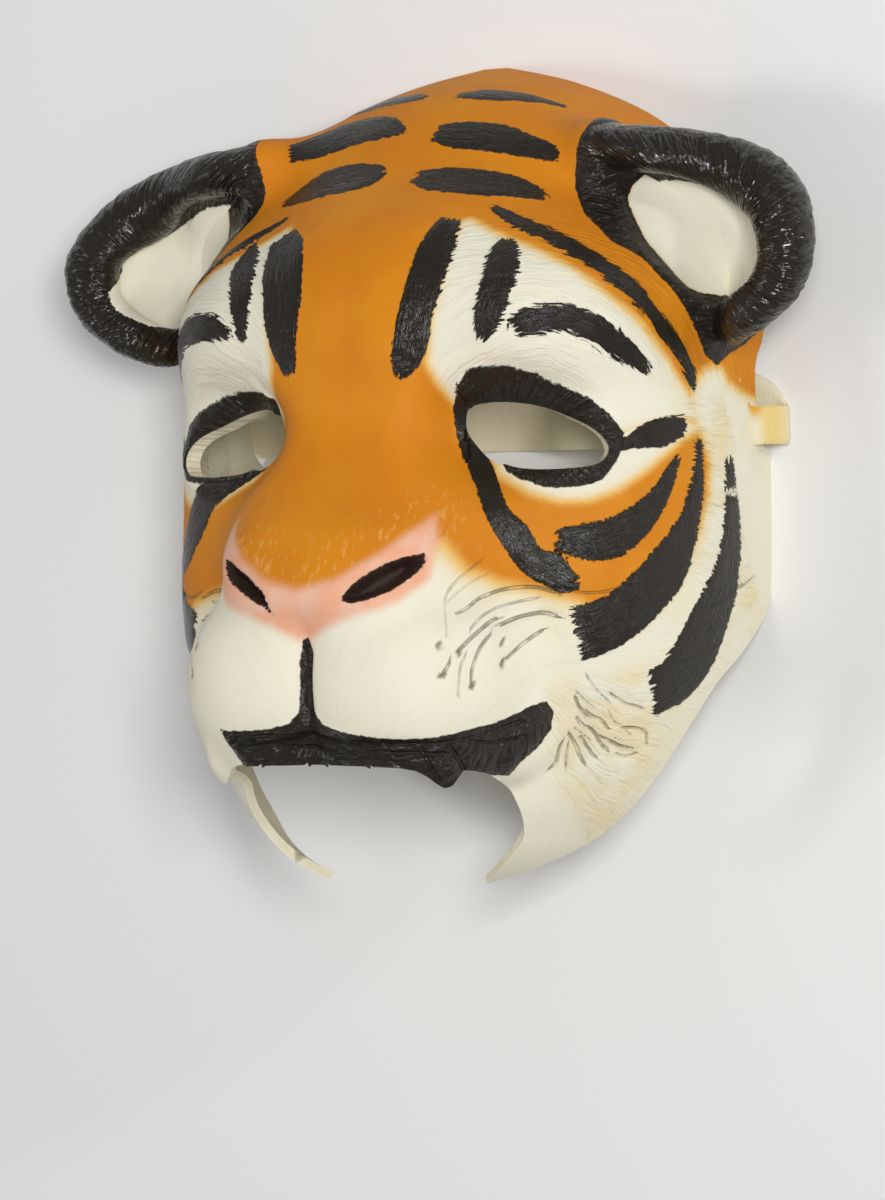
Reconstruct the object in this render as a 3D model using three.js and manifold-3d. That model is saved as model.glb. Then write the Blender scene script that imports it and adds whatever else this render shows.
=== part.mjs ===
// Tiger half mask of cast rubber: a thin painted shell with two ears and a head band, all in one casting.
// It lies face up on a table, in millimetres.
// X runs to the wearer's left, Y towards the forehead and Z up off the table.
import * as THREE from 'three';
import { mergeVertices } from 'three/addons/utils/BufferGeometryUtils.js';
import Module from 'manifold-3d';

const wasm = await Module();
wasm.setup();

// Driving dimensions
const WALL = 2.5;                 // thickness of the rubber
const FOREHEAD_END = 113;         // the mask reaches this far up
const JAW_END = -110;             // and its jaw could reach this far down
const Y_SHIFT = -6.1;             // puts the origin under the middle of the mask's length
const OUTSIDE_GRID = [42, 52];    // faces across and along the outer skin
const INSIDE_GRID = [26, 30];     // and the plainer inner skin
const FRONT_SHARE = 0.78;         // below 1, the faces are smaller at the front of the face than at the rim
const KNOB_OUT = 6;               // radius at FOCUS of the block that is hollowed out
const KNOB_IN = 4;                // and of the block taken out of it
const HOLLOW_SPREAD = 1.06;       // the hollow runs out past the rim
const CORE_SPREAD = 1.03;         // and so does the core that keeps the ears out of it
const CORE_SHARE = 0.6;           // the ears reach this share of the wall in
const EAR_AROUND = 22;
const EAR_ACROSS = 13;
const BAND = { from: 9.5, to: 30.5, thick: 2.2 };

// The bare head form. Each row gives a place along Y and the value there.
const HALF_WIDTH = [
  [-109, 4], [-104, 33.5], [-97, 48], [-85, 60], [-76, 66], [-66, 70.5], [-50, 75.5], [-30, 78],
  [0, 79], [40, 79], [60, 77], [72, 73], [88, 62], [98, 48], [108, 24], [113, 5],
];
const CROWN = [
  [-109, 56.5], [-97, 78.5], [-85, 85.5], [-70, 85.5], [-58, 83.5], [-30, 81.5], [0, 76.5],
  [50, 76.5], [66, 71.5], [81, 54], [94, 43.5], [104, 30.5], [110, 13.5], [113, 1],
];
const SQUARENESS = [
  [-109, 2.4], [-85, 2.5], [-70, 2.7], [-50, 3.1], [-20, 3.3], [0, 3.3], [30, 3], [50, 2.6], [66, 2.2],
  [113, 2.2],
];
// The rim's height above the table.
const RIM_HEIGHT = [
  [-112, 64], [-102, 61], [-96, 53], [-89, 45], [-80, 40.5], [-69, 36], [-57.5, 30], [-51, 24.5], [-44, 13.5],
  [-36, 3.5], [-29, 0], [5, 0], [11, 6], [20, 8], [30, 8], [37, 6], [60, 9], [90, 5], [106, 0], [114, 0],
];

// The wide flat bridge of the nose: the height of its ridge and its half width.
const BRIDGE = {
  ridge: [
    [-40, 107.5], [-30, 112.5], [-22, 112], [-10, 106], [0, 97.5], [16, 87], [30, 84], [40, 82.5],
    [60, 75.5], [80, 54.5],
  ],
  half: [
    [-40, 18], [-30, 29], [-20, 35.5], [-12, 36], [0, 31.5], [16, 28], [30, 27], [40, 26], [80, 28],
  ],
  middle: 20,
  reach: 54,
  depth: 44,
  squareness: 2.9,
};

// Rounded lumps on each side, mirrored: middle, radii and squareness.
const BROW = { at: [34, 43, 49.5], radii: [29, 20, 29], power: 2 };
const MUZZLE = { at: [16, -48, 76.5], radii: [31, 28, 36], power: 2.3 };
const EAR_FOOT = { at: [68, 62, 10.5], radii: [18, 24, 26], power: 2 };
const SOCKET = { at: [44, 16, 83.5], radii: [21, 14, 24], power: 2 };
// Rolls on each side: x, y, z and radius along them.
const LIP = [
  [0, -65, 96.5, 7], [20, -67, 95.5, 7], [30, -69, 89.5, 7], [40, -66, 76.5, 6], [50, -58, 61.5, 5],
];
const EAR_ROOT = [[32, 88, 31.5, 9], [48, 88, 35.5, 9], [58, 86, 36.5, 8]];
const NOSTRIL = { from: [10.5, -28, 111], to: [33, -15.5, 102], wide: 6.4, deep: 3.8 };
// Rubber pools in the nose and in the fold beside it while the mask is cast, so the wall is thicker there.
const POOLS = [
  { at: [20, -23, 108], reach: 24, extra: 6 },
  { at: [43, -36, 81], reach: 22, extra: 2.5 },
];

// Openings, in degrees off the Z axis as seen from FOCUS, across and up.
const FOCUS = new THREE.Vector3(0, 8, 12);
const EYE_HOLE = [
  [24, 8], [25, 12.7], [29, 14.2], [34, 14.6], [40, 13.6], [45, 11], [50, 6], [52, 1.5], [50, -1.8],
  [45, -3.2], [39, -3.7], [34, -3], [29.5, -0.5], [25.5, 4.2],
];
const LID = { upper: 6.5, lower: 4, height: 1.8 };   // widths in degrees, height in millimetres
const LIP_EDGE = [
  [0, -39.5], [10, -38.8], [14, -39.8], [17, -42.8], [19.5, -41.5], [22, -44], [23.4, -49], [24, -53],
  [23.5, -56], [22.3, -58], [19.2, -60.3], [15.9, -63.2], [12, -67], [8, -76], [0, -80],
];
const CUT_FROM = 20;
const CUT_TO = 200;

// The ear: a rolled rim round a dished bowl. x, y, z and radius of the roll, once round the left ear.
const EAR_ROLL = [
  [58.5, 88, 41.8, 7], [66.5, 87, 41.3, 7.5], [75, 85, 37.8, 7.5], [83, 82, 33.8, 8],
  [92, 78, 33.3, 8.5], [100, 72, 36.8, 8.5], [105, 65, 41.3, 8], [105.5, 58, 41.8, 7.5],
  [103, 52, 41.8, 7], [97.5, 46.5, 40.8, 6.5], [90, 42, 39.8, 6], [82, 39.5, 35.8, 5.5],
  [74, 44, 26.8, 4], [68.5, 55, 23.8, 4], [62.5, 68, 25.8, 4], [57.5, 80, 33.8, 5.5],
];
const EAR_BOWL = new THREE.Vector3(84, 62, 24.8);
const EAR_WALL = 3;
const ROLL_START = THREE.MathUtils.degToRad(205);
const ROLL_END = THREE.MathUtils.degToRad(-115);
const ROLL_SHARE = [0.3, 0.74];

// The head band seen from the forehead end: the middle of its thickness, from the temple round under the rim.
const BAND_LINE = [
  [77.7, 17], [78.2, 12], [80.5, 8.5], [84, 6.8], [85.6, 4.2], [84, 1.8], [80, 1.1], [70, 1.3],
  [58, 7], [46, 15.5], [36, 18], [26, 15.5], [14, 6], [6, 1.8], [0, 1.2],
];

// A smooth value along a table of [place, value] rows.
function along(rows, place) {
  const last = rows.length - 1;
  if (place <= rows[0][0]) return rows[0][1];
  if (place >= rows[last][0]) return rows[last][1];
  let i = 0;
  while (place >= rows[i + 1][0]) i++;
  const slope = (k) => {
    const a = rows[Math.max(k - 1, 0)];
    const b = rows[Math.min(k + 1, last)];
    return (b[1] - a[1]) / (b[0] - a[0]);
  };
  const span = rows[i + 1][0] - rows[i][0];
  const t = (place - rows[i][0]) / span;
  return hermite(rows[i][1], rows[i + 1][1], slope(i) * span, slope(i + 1) * span, t);
}

function hermite(p0, p1, m0, m1, t) {
  const t2 = t * t;
  const t3 = t2 * t;
  return (2 * t3 - 3 * t2 + 1) * p0 + (t3 - 2 * t2 + t) * m0 + (-2 * t3 + 3 * t2) * p1 + (t3 - t2) * m1;
}

// Smooth union and smooth cut of two distances, blended over about k.
function join(a, b, k) {
  const h = THREE.MathUtils.clamp(0.5 + 0.5 * (b - a) / k, 0, 1);
  return b * (1 - h) + a * h - k * h * (1 - h);
}

function carve(a, b, k) {
  return -join(-a, b, k);
}

function lump(x, y, z, { at, radii, power }) {
  const q = Math.abs((x - at[0]) / radii[0]) ** power + Math.abs((y - at[1]) / radii[1]) ** power
    + Math.abs((z - at[2]) / radii[2]) ** power;
  return (q ** (1 / power) - 1) * Math.min(...radii);
}

function roll(x, y, z, rows, k) {
  let distance = Infinity;
  for (let i = 0; i + 1 < rows.length; i++) {
    const [ax, ay, az, ar] = rows[i];
    const [bx, by, bz, br] = rows[i + 1];
    const d = [bx - ax, by - ay, bz - az];
    const dot = (x - ax) * d[0] + (y - ay) * d[1] + (z - az) * d[2];
    const t = THREE.MathUtils.clamp(dot / (d[0] ** 2 + d[1] ** 2 + d[2] ** 2), 0, 1);
    const gap = Math.hypot(x - ax - t * d[0], y - ay - t * d[1], z - az - t * d[2]) - (ar + (br - ar) * t);
    distance = i === 0 ? gap : join(distance, gap, k);
  }
  return distance;
}

function headForm(x, y, z) {
  const power = along(SQUARENESS, y);
  const across = Math.abs(x / along(HALF_WIDTH, y)) ** power;
  const up = (Math.max(z + 3.5, 0) / (along(CROWN, y) + 3.5)) ** power;
  return ((across + up) ** (1 / power) - 1) * 60;
}

function noseBridge(x, y, z) {
  const { depth, squareness, middle, reach } = BRIDGE;
  const across = Math.abs(x / along(BRIDGE.half, y)) ** squareness;
  const up = (Math.max(z - along(BRIDGE.ridge, y) + depth, 0) / depth) ** squareness;
  const section = ((across + up) ** (1 / squareness) - 1) * 30;
  const ends = (Math.abs(y - middle) - reach) * 0.8;
  return -join(-section, -ends, 8);
}

// Below zero inside the mask's outer form, above zero outside it.
// The ear roots are solid, so the inside has none.
function faceForm(x, y, z, inside = false) {
  const side = Math.abs(x);
  let form = headForm(x, y, z);
  form = join(form, lump(side, y, z, BROW), 12);
  form = join(form, noseBridge(x, y, z), 11);
  form = join(form, lump(side, y, z, MUZZLE), 7);
  form = join(form, roll(side, y, z, LIP, 4), 5);
  if (!inside) form = join(form, roll(side, y, z, EAR_ROOT, 4), 10);
  form = join(form, lump(side, y, z, EAR_FOOT), 10);
  form = carve(form, lump(side, y, z, SOCKET), 8);
  return Math.max(form, y - FOREHEAD_END, JAW_END - y);
}

function direction(tilt, turn) {
  return new THREE.Vector3(Math.sin(tilt) * Math.cos(turn), Math.sin(tilt) * Math.sin(turn), Math.cos(tilt));
}

function bisect(low, high, isLow) {
  for (let i = 0; i < 26; i++) {
    const middle = (low + high) / 2;
    if (isLow(middle)) low = middle;
    else high = middle;
  }
  return (low + high) / 2;
}

function formPoint(ray, inside = false) {
  const reach = bisect(25, 190, (r) => {
    return faceForm(FOCUS.x + ray.x * r, FOCUS.y + ray.y * r, FOCUS.z + ray.z * r, inside) < 0;
  });
  return ray.clone().multiplyScalar(reach).add(FOCUS);
}

function outwardNormal(p) {
  const step = 0.4;
  return new THREE.Vector3(
    faceForm(p.x + step, p.y, p.z) - faceForm(p.x - step, p.y, p.z),
    faceForm(p.x, p.y + step, p.z) - faceForm(p.x, p.y - step, p.z),
    faceForm(p.x, p.y, p.z + step) - faceForm(p.x, p.y, p.z - step),
  ).normalize();
}

// How far off the Z axis the rim lies in a given direction round the mask.
function rimTilt(turn) {
  return bisect(THREE.MathUtils.degToRad(35), THREE.MathUtils.degToRad(125), (tilt) => {
    const p = formPoint(direction(tilt, turn));
    return p.z > along(RIM_HEIGHT, p.y);
  });
}

function solidOf(geometry) {
  const bare = geometry.clone();
  bare.deleteAttribute('normal');
  bare.deleteAttribute('uv');
  const merged = mergeVertices(bare, 1e-4);
  return new wasm.Manifold(new wasm.Mesh({
    numProp: 3,
    vertProperties: new Float32Array(merged.attributes.position.array),
    triVerts: new Uint32Array(merged.index.array),
  }));
}

function geometryOf(solid) {
  const mesh = solid.getMesh();
  const geometry = new THREE.BufferGeometry();
  geometry.setAttribute('position', new THREE.BufferAttribute(new Float32Array(mesh.vertProperties), 3));
  geometry.setIndex(new THREE.BufferAttribute(new Uint32Array(mesh.triVerts), 1));
  geometry.computeVertexNormals();
  return geometry;
}

// Moves each point of a geometry to the place that a function gives for it.
function reshape(geometry, place) {
  const position = geometry.attributes.position;
  const point = new THREE.Vector3();
  for (let i = 0; i < position.count; i++) {
    place(point.fromBufferAttribute(position, i), i);
    position.setXYZ(i, point.x, point.y, point.z);
  }
  return geometry;
}

// A flat box of small faces takes the form: its top becomes a skin, its underside shrinks to a knob at FOCUS.
function domed([columns, rows], spread, knob, skinPoint) {
  const box = new THREE.BoxGeometry(2, 2, 2, columns, rows, 1);
  return reshape(box, (p) => {
    const top = p.z > 0;
    const across = p.x * Math.sqrt(1 - p.y * p.y / 2);
    const up = p.y * Math.sqrt(1 - p.x * p.x / 2);
    const turn = Math.atan2(up, across);
    const share = Math.hypot(across, up);
    const tilt = spread * rimTilt(turn) * share * (FRONT_SHARE + (1 - FRONT_SHARE) * share * share);
    const ray = direction(tilt, turn);
    if (top) p.copy(skinPoint(ray));
    else p.copy(ray.multiplyScalar(knob).add(FOCUS));
  });
}

// How far a place in degrees is from an outline, and below zero inside it.
function outlineGap(outline, x, y) {
  let nearest = Infinity;
  let inside = false;
  for (let i = 0, j = outline.length - 1; i < outline.length; j = i++) {
    const [ax, ay] = outline[j];
    const [bx, by] = outline[i];
    const dot = (x - ax) * (bx - ax) + (y - ay) * (by - ay);
    const t = THREE.MathUtils.clamp(dot / ((bx - ax) ** 2 + (by - ay) ** 2), 0, 1);
    nearest = Math.min(nearest, Math.hypot(x - ax - t * (bx - ax), y - ay - t * (by - ay)));
    if ((ay > y) !== (by > y) && x < (bx - ax) * (y - ay) / (by - ay) + ax) inside = !inside;
  }
  return inside ? -nearest : nearest;
}

// The thick lid stands proud round each eye hole, wider above it than below.
function lidHeight(ray) {
  const tilt = THREE.MathUtils.radToDeg(Math.acos(ray.z));
  const turn = Math.atan2(ray.y, Math.abs(ray.x));
  const x = tilt * Math.cos(turn);
  const y = tilt * Math.sin(turn);
  const gap = outlineGap(EYE_HOLE, x, y);
  const width = THREE.MathUtils.lerp(LID.lower, LID.upper, THREE.MathUtils.smoothstep(y, -2, 10));
  return LID.height * (1 - THREE.MathUtils.smoothstep(gap, 0, width));
}

function outerSkin(ray) {
  const p = formPoint(ray).addScaledVector(ray, lidHeight(ray));
  p.z = Math.max(p.z, 0);
  return p;
}

function innerSkin(depth) {
  return (ray) => {
    const p = formPoint(ray, true);
    const lean = Math.max(outwardNormal(p).dot(ray), 0.5);
    let thickness = depth;
    for (const { at, reach, extra } of POOLS) {
      const away = Math.hypot(Math.abs(p.x) - at[0], p.y - at[1], p.z - at[2]);
      thickness += extra * (1 - THREE.MathUtils.smoothstep(away, reach * 0.4, reach));
    }
    return p.addScaledVector(ray, -thickness / lean);
  };
}

function shell() {
  const body = solidOf(domed(OUTSIDE_GRID, 1, KNOB_OUT, outerSkin));
  const hollow = solidOf(domed(INSIDE_GRID, HOLLOW_SPREAD, KNOB_IN, innerSkin(WALL)));
  return body.subtract(hollow);
}

// The same outline with its corners rounded off.
function rounded(outline) {
  const curve = new THREE.CatmullRomCurve3(outline.map(([x, y]) => new THREE.Vector3(x, y, 0)), true);
  return curve.getPoints(outline.length * 2).slice(1).map((p) => [p.x, p.y]);
}

// A hole through the shell: its outline widened outwards from FOCUS like a cone.
function cutter(outline) {
  const shape = new THREE.Shape(outline.map(([x, y]) => new THREE.Vector2(x, y)));
  const block = new THREE.ExtrudeGeometry(shape, { depth: 1, bevelEnabled: false });
  return reshape(block, (p) => {
    const reach = p.z > 0.5 ? CUT_TO : CUT_FROM;
    const ray = direction(THREE.MathUtils.degToRad(Math.hypot(p.x, p.y)), Math.atan2(p.y, p.x));
    p.copy(ray.multiplyScalar(reach).add(FOCUS));
  });
}

// A point on the ear: around runs once round the rim, across from the bowl's floor over the roll to the back.
function earPoint(rollLine, rollRadii, around, across) {
  const centre = rollLine.getPoint(around);
  const radius = rollRadii.getPoint(around).x;
  const outward = new THREE.Vector2(centre.x - EAR_BOWL.x, centre.y - EAR_BOWL.y);
  const reach = outward.length();
  const height = centre.z - EAR_BOWL.z;
  outward.normalize();
  const onRoll = (angle) => [reach + radius * Math.cos(angle), height + radius * Math.sin(angle)];
  const [first, last] = ROLL_SHARE;
  let out;
  let up;
  if (across < first) {
    const [endOut, endUp] = onRoll(ROLL_START);
    const pull = 1.6 * radius;
    out = hermite(0, endOut, reach * 0.9, Math.sin(ROLL_START) * pull, across / first);
    up = hermite(0, endUp, 0, -Math.cos(ROLL_START) * pull, across / first);
  } else if (across <= last) {
    [out, up] = onRoll(THREE.MathUtils.mapLinear(across, first, last, ROLL_START, ROLL_END));
  } else {
    const [startOut, startUp] = onRoll(ROLL_END);
    const pull = 1.2 * radius;
    const t = (across - last) / (1 - last);
    out = hermite(startOut, 0, Math.sin(ROLL_END) * pull, -reach * 0.8, t);
    up = hermite(startUp, -EAR_WALL, -Math.cos(ROLL_END) * pull, 0, t);
  }
  return new THREE.Vector3(EAR_BOWL.x + outward.x * out, EAR_BOWL.y + outward.y * out, EAR_BOWL.z + up);
}

function ear() {
  const closed = (rows) => new THREE.CatmullRomCurve3(rows, true, 'catmullrom', 0.5);
  const rollLine = closed(EAR_ROLL.map(([x, y, z]) => new THREE.Vector3(x, y, z)));
  const rollRadii = closed(EAR_ROLL.map((row) => new THREE.Vector3(row[3], 0, 0)));
  const ball = new THREE.SphereGeometry(1, EAR_AROUND, EAR_ACROSS);
  const uv = ball.attributes.uv;
  return reshape(ball, (p, i) => p.copy(earPoint(rollLine, rollRadii, (2 - uv.getX(i)) % 1, 1 - uv.getY(i))));
}

// The same shape for the wearer's other side.
function mirrored(geometry) {
  const copy = geometry.clone();
  copy.scale(-1, 1, 1);
  const index = copy.index.array;
  for (let i = 0; i < index.length; i += 3) [index[i], index[i + 1]] = [index[i + 1], index[i]];
  return copy;
}

// The band runs from temple to temple: down off the rim, out in a small loop, then in along the table.
// It makes two low humps on the way.
function headBand() {
  const half = new THREE.SplineCurve(BAND_LINE.map(([x, z]) => new THREE.Vector2(x, z)));
  const left = half.getPoints(17);
  const line = [...left, ...left.slice(0, -1).reverse().map((p) => new THREE.Vector2(-p.x, p.y))];
  const edge = (side) => line.map((p, i) => {
    const before = line[Math.max(i - 1, 0)];
    const after = line[Math.min(i + 1, line.length - 1)];
    const normal = new THREE.Vector2(before.y - after.y, after.x - before.x).normalize();
    return p.clone().addScaledVector(normal, side * BAND.thick / 2);
  });
  const outline = [...edge(1), ...edge(-1).reverse()].map((p) => new THREE.Vector2(p.x, Math.max(p.y, 0)));
  const width = BAND.to - BAND.from;
  const geometry = new THREE.ExtrudeGeometry(new THREE.Shape(outline), { depth: width, bevelEnabled: false });
  geometry.rotateX(Math.PI / 2);
  geometry.translate(0, BAND.to, 0);
  return geometry;
}

// A slanting pocket in the nose.
function nostril() {
  const from = new THREE.Vector3(...NOSTRIL.from);
  const to = new THREE.Vector3(...NOSTRIL.to);
  const middle = from.clone().lerp(to, 0.5);
  const pocket = new THREE.SphereGeometry(1, 14, 8);
  pocket.scale(from.distanceTo(to) / 2, NOSTRIL.wide / 2, NOSTRIL.deep);
  const along = to.clone().sub(from).normalize();
  const out = middle.clone().sub(FOCUS).normalize();
  const across = out.clone().cross(along).normalize();
  pocket.applyMatrix4(new THREE.Matrix4().makeBasis(along, across, along.clone().cross(across)));
  const seat = formPoint(out);
  pocket.translate(seat.x, seat.y, seat.z);
  return pocket;
}

const otherSide = ([x, y]) => [-x, y];
const eyeOutline = rounded(EYE_HOLE);
const chinOutline = [...LIP_EDGE, ...LIP_EDGE.slice(1, -1).reverse().map(otherSide)];
const core = solidOf(domed(INSIDE_GRID, CORE_SPREAD, KNOB_IN, innerSkin(WALL * CORE_SHARE)));
const leftEar = ear();
const leftNostril = nostril();
const mask = shell()
  .subtract(solidOf(leftNostril))
  .subtract(solidOf(mirrored(leftNostril)))
  .subtract(solidOf(cutter(eyeOutline)))
  .subtract(solidOf(cutter(eyeOutline.map(otherSide).reverse())))
  .subtract(solidOf(cutter(chinOutline)))
  .add(solidOf(leftEar).subtract(core))
  .add(solidOf(mirrored(leftEar)).subtract(core))
  .add(solidOf(headBand()));

const rubber = new THREE.MeshStandardMaterial({ color: 0xd98a1c, roughness: 0.55, metalness: 0 });
const maskMesh = new THREE.Mesh(geometryOf(mask), rubber);
maskMesh.name = 'mask';
maskMesh.position.y = Y_SHIFT;

const halfMask = new THREE.Group();
halfMask.add(maskMesh);
export default halfMask;
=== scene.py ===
# Tiger half mask of painted rubber, lying face up: the shell, its two ears and its head band
import math

import bmesh
import bpy
import numpy as np
from mathutils import Matrix, Vector


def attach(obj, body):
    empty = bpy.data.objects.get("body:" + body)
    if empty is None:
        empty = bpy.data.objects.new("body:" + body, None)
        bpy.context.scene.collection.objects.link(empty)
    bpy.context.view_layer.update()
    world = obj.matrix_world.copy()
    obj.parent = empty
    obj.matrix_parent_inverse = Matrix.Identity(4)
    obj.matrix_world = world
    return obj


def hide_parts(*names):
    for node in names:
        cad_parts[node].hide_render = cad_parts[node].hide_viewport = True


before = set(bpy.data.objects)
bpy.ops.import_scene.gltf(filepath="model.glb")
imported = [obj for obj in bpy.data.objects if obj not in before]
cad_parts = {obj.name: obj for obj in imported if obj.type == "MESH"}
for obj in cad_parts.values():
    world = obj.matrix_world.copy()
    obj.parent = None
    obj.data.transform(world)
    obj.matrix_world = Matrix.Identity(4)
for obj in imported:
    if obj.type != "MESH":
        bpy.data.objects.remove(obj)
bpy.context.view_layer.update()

# Lengths are millimetres, X to the wearer's left, Y towards the forehead, Z up, until place_points.
Y_SHIFT = -6.1
WALL = 2.5

# The head's bare form: rows of a place along Y and the value there.
HALF_WIDTH = [
    (-109, 4), (-104, 33.5), (-97, 48), (-85, 60), (-76, 66), (-66, 70.5), (-50, 75.5), (-30, 78),
    (0, 79), (40, 79), (60, 77), (72, 73), (88, 62), (98, 48), (108, 24), (113, 5)]
CROWN = [
    (-109, 56.5), (-97, 78.5), (-85, 85.5), (-70, 85.5), (-58, 83.5), (-30, 81.5), (0, 76.5),
    (50, 76.5), (66, 71.5), (81, 54), (94, 43.5), (104, 30.5), (110, 13.5), (113, 1)]
SQUARENESS = [
    (-109, 2.4), (-85, 2.5), (-70, 2.7), (-50, 3.1), (-20, 3.3), (0, 3.3), (30, 3), (50, 2.6), (66, 2.2),
    (113, 2.2)]
RIM_HEIGHT = [
    (-112, 64), (-102, 61), (-96, 53), (-89, 45), (-80, 40.5), (-69, 36), (-57.5, 30), (-51, 24.5),
    (-44, 13.5), (-36, 3.5), (-29, 0), (5, 0), (11, 6), (20, 8), (30, 8), (37, 6), (60, 9), (90, 5),
    (106, 0), (114, 0)]

# The wide flat bridge of the nose: the height of its ridge and its half width.
RIDGE = [
    (-40, 107.5), (-30, 112.5), (-22, 112), (-10, 106), (0, 97.5), (16, 87), (30, 84), (40, 82.5),
    (60, 75.5), (80, 54.5)]
BRIDGE_HALF = [
    (-40, 18), (-30, 29), (-20, 35.5), (-12, 37), (0, 34.5), (16, 31), (30, 28.5), (40, 26.5), (80, 28)]
BRIDGE_MIDDLE, BRIDGE_REACH, BRIDGE_DEPTH, BRIDGE_POWER = 20, 54, 44, 2.9
BRIDGE_END_SLOPE, BRIDGE_END_BLEND = 0.8, 8
# The head's middle lies this far below Z 0; the radii turn the two sections' shares into millimetres.
HEAD_SINK = 3.5
HEAD_RADIUS, BRIDGE_RADIUS = 60, 30

# Lumps on each side: middle, radii and squareness.
BROW = ((34, 43, 49.5), (29, 20, 29), 2)
MUZZLE = ((16, -48, 76.5), (31, 28, 36), 2.3)
EAR_FOOT = ((68, 62, 10.5), (18, 24, 26), 2)
SOCKET = ((44, 16, 83.5), (21, 14, 24), 2)
# Rolls on each side: x, y, z and radius along them.
LIP = [(0, -65, 96.5, 7), (20, -67, 95.5, 7), (30, -69, 89.5, 7), (40, -66, 76.5, 6), (50, -58, 61.5, 5)]
EAR_ROOT = [(30, 87.5, 29, 8), (49, 86.3, 35.8, 8.8)]

# How softly each form runs into the head.
BROW_BLEND, BRIDGE_BLEND, MUZZLE_BLEND, LIP_BLEND = 12, 15, 7, 5
ROOT_BLEND, FOOT_BLEND, SOCKET_BLEND, ROLL_BLEND = 10, 10, 8, 4

FOREHEAD_END, JAW_END = 113, -110
# The chart is centred on this point inside the mask.
FOCUS = np.array([0.0, 8.0, 12.0])
NORMAL_REACH = 0.4


def along(rows, place):
    """A smooth value along a table of places and values."""
    at = np.array([row[0] for row in rows], float)
    value = np.array([row[1] for row in rows], float)
    slope = np.empty_like(value)
    slope[1:-1] = (value[2:] - value[:-2]) / (at[2:] - at[:-2])
    slope[0] = (value[1] - value[0]) / (at[1] - at[0])
    slope[-1] = (value[-1] - value[-2]) / (at[-1] - at[-2])
    place = np.clip(place, at[0], at[-1])
    i = np.clip(np.searchsorted(at, place, side="right") - 1, 0, len(at) - 2)
    span = at[i + 1] - at[i]
    return hermite(value[i], value[i + 1], slope[i] * span, slope[i + 1] * span, (place - at[i]) / span)


def hermite(p0, p1, m0, m1, t):
    return ((2 * t**3 - 3 * t**2 + 1) * p0 + (t**3 - 2 * t**2 + t) * m0
            + (3 * t**2 - 2 * t**3) * p1 + (t**3 - t**2) * m1)


def step(value, low, high):
    """0 below low, 1 above high, smooth between."""
    t = np.clip((value - low) / (high - low), 0, 1)
    return t * t * (3 - 2 * t)


def join(a, b, k):
    """Two forms as one, with the corner between them rounded."""
    h = np.clip(0.5 + 0.5 * (b - a) / k, 0, 1)
    return b * (1 - h) + a * h - k * h * (1 - h)


def carve(a, b, k):
    """A form less another one, with a rounded edge."""
    return -join(-a, b, k)


def lump(x, y, z, shape):
    """A rounded block with a middle, three radii and a squareness."""
    at, radii, power = shape
    q = (np.abs((x - at[0]) / radii[0])**power + np.abs((y - at[1]) / radii[1])**power
         + np.abs((z - at[2]) / radii[2])**power)
    return (q**(1 / power) - 1) * min(radii)


def roll(x, y, z, rows, k):
    """A round bar through rows of x, y, z and radius."""
    distance = None
    for (ax, ay, az, ar), (bx, by, bz, br) in zip(rows[:-1], rows[1:]):
        dx, dy, dz = bx - ax, by - ay, bz - az
        t = np.clip(((x - ax) * dx + (y - ay) * dy + (z - az) * dz) / (dx**2 + dy**2 + dz**2), 0, 1)
        gap = np.sqrt((x - ax - t * dx)**2 + (y - ay - t * dy)**2 + (z - az - t * dz)**2)
        gap = gap - (ar + (br - ar) * t)
        distance = gap if distance is None else join(distance, gap, k)
    return distance


def head_form(x, y, z):
    power = along(SQUARENESS, y)
    across = np.abs(x / along(HALF_WIDTH, y))**power
    up = (np.maximum(z + HEAD_SINK, 0) / (along(CROWN, y) + HEAD_SINK))**power
    return ((across + up)**(1 / power) - 1) * HEAD_RADIUS


def nose_bridge(x, y, z):
    across = np.abs(x / along(BRIDGE_HALF, y))**BRIDGE_POWER
    up = (np.maximum(z - along(RIDGE, y) + BRIDGE_DEPTH, 0) / BRIDGE_DEPTH)**BRIDGE_POWER
    section = ((across + up)**(1 / BRIDGE_POWER) - 1) * BRIDGE_RADIUS
    ends = (np.abs(y - BRIDGE_MIDDLE) - BRIDGE_REACH) * BRIDGE_END_SLOPE
    return carve(section, -ends, BRIDGE_END_BLEND)


def face_form(p, inside=False):
    """Below zero inside the mask's outer form, above zero outside it."""
    x, y, z = np.abs(p[..., 0]), p[..., 1], p[..., 2]
    form = head_form(x, y, z)
    form = join(form, lump(x, y, z, BROW), BROW_BLEND)
    form = join(form, nose_bridge(x, y, z), BRIDGE_BLEND)
    form = join(form, lump(x, y, z, MUZZLE), MUZZLE_BLEND)
    form = join(form, roll(x, y, z, LIP, ROLL_BLEND), LIP_BLEND)
    if not inside:
        form = join(form, roll(x, y, z, EAR_ROOT, ROLL_BLEND), ROOT_BLEND)
    form = join(form, lump(x, y, z, EAR_FOOT), FOOT_BLEND)
    form = carve(form, lump(x, y, z, SOCKET), SOCKET_BLEND)
    return np.maximum(form, np.maximum(y - FOREHEAD_END, JAW_END - y))


def ray_of(chart):
    """The direction from FOCUS of a place on the chart, in degrees across and up."""
    tilt = np.radians(np.hypot(chart[..., 0], chart[..., 1]))
    turn = np.arctan2(chart[..., 1], chart[..., 0])
    return np.stack([np.sin(tilt) * np.cos(turn), np.sin(tilt) * np.sin(turn), np.cos(tilt)], -1)


def chart_of(points):
    """The place on the chart of points in space."""
    d = np.asarray(points, float) - FOCUS
    tilt = np.degrees(np.arccos(d[..., 2] / np.linalg.norm(d, axis=-1)))
    turn = np.arctan2(d[..., 1], d[..., 0])
    return np.stack([tilt * np.cos(turn), tilt * np.sin(turn)], -1)


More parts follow.
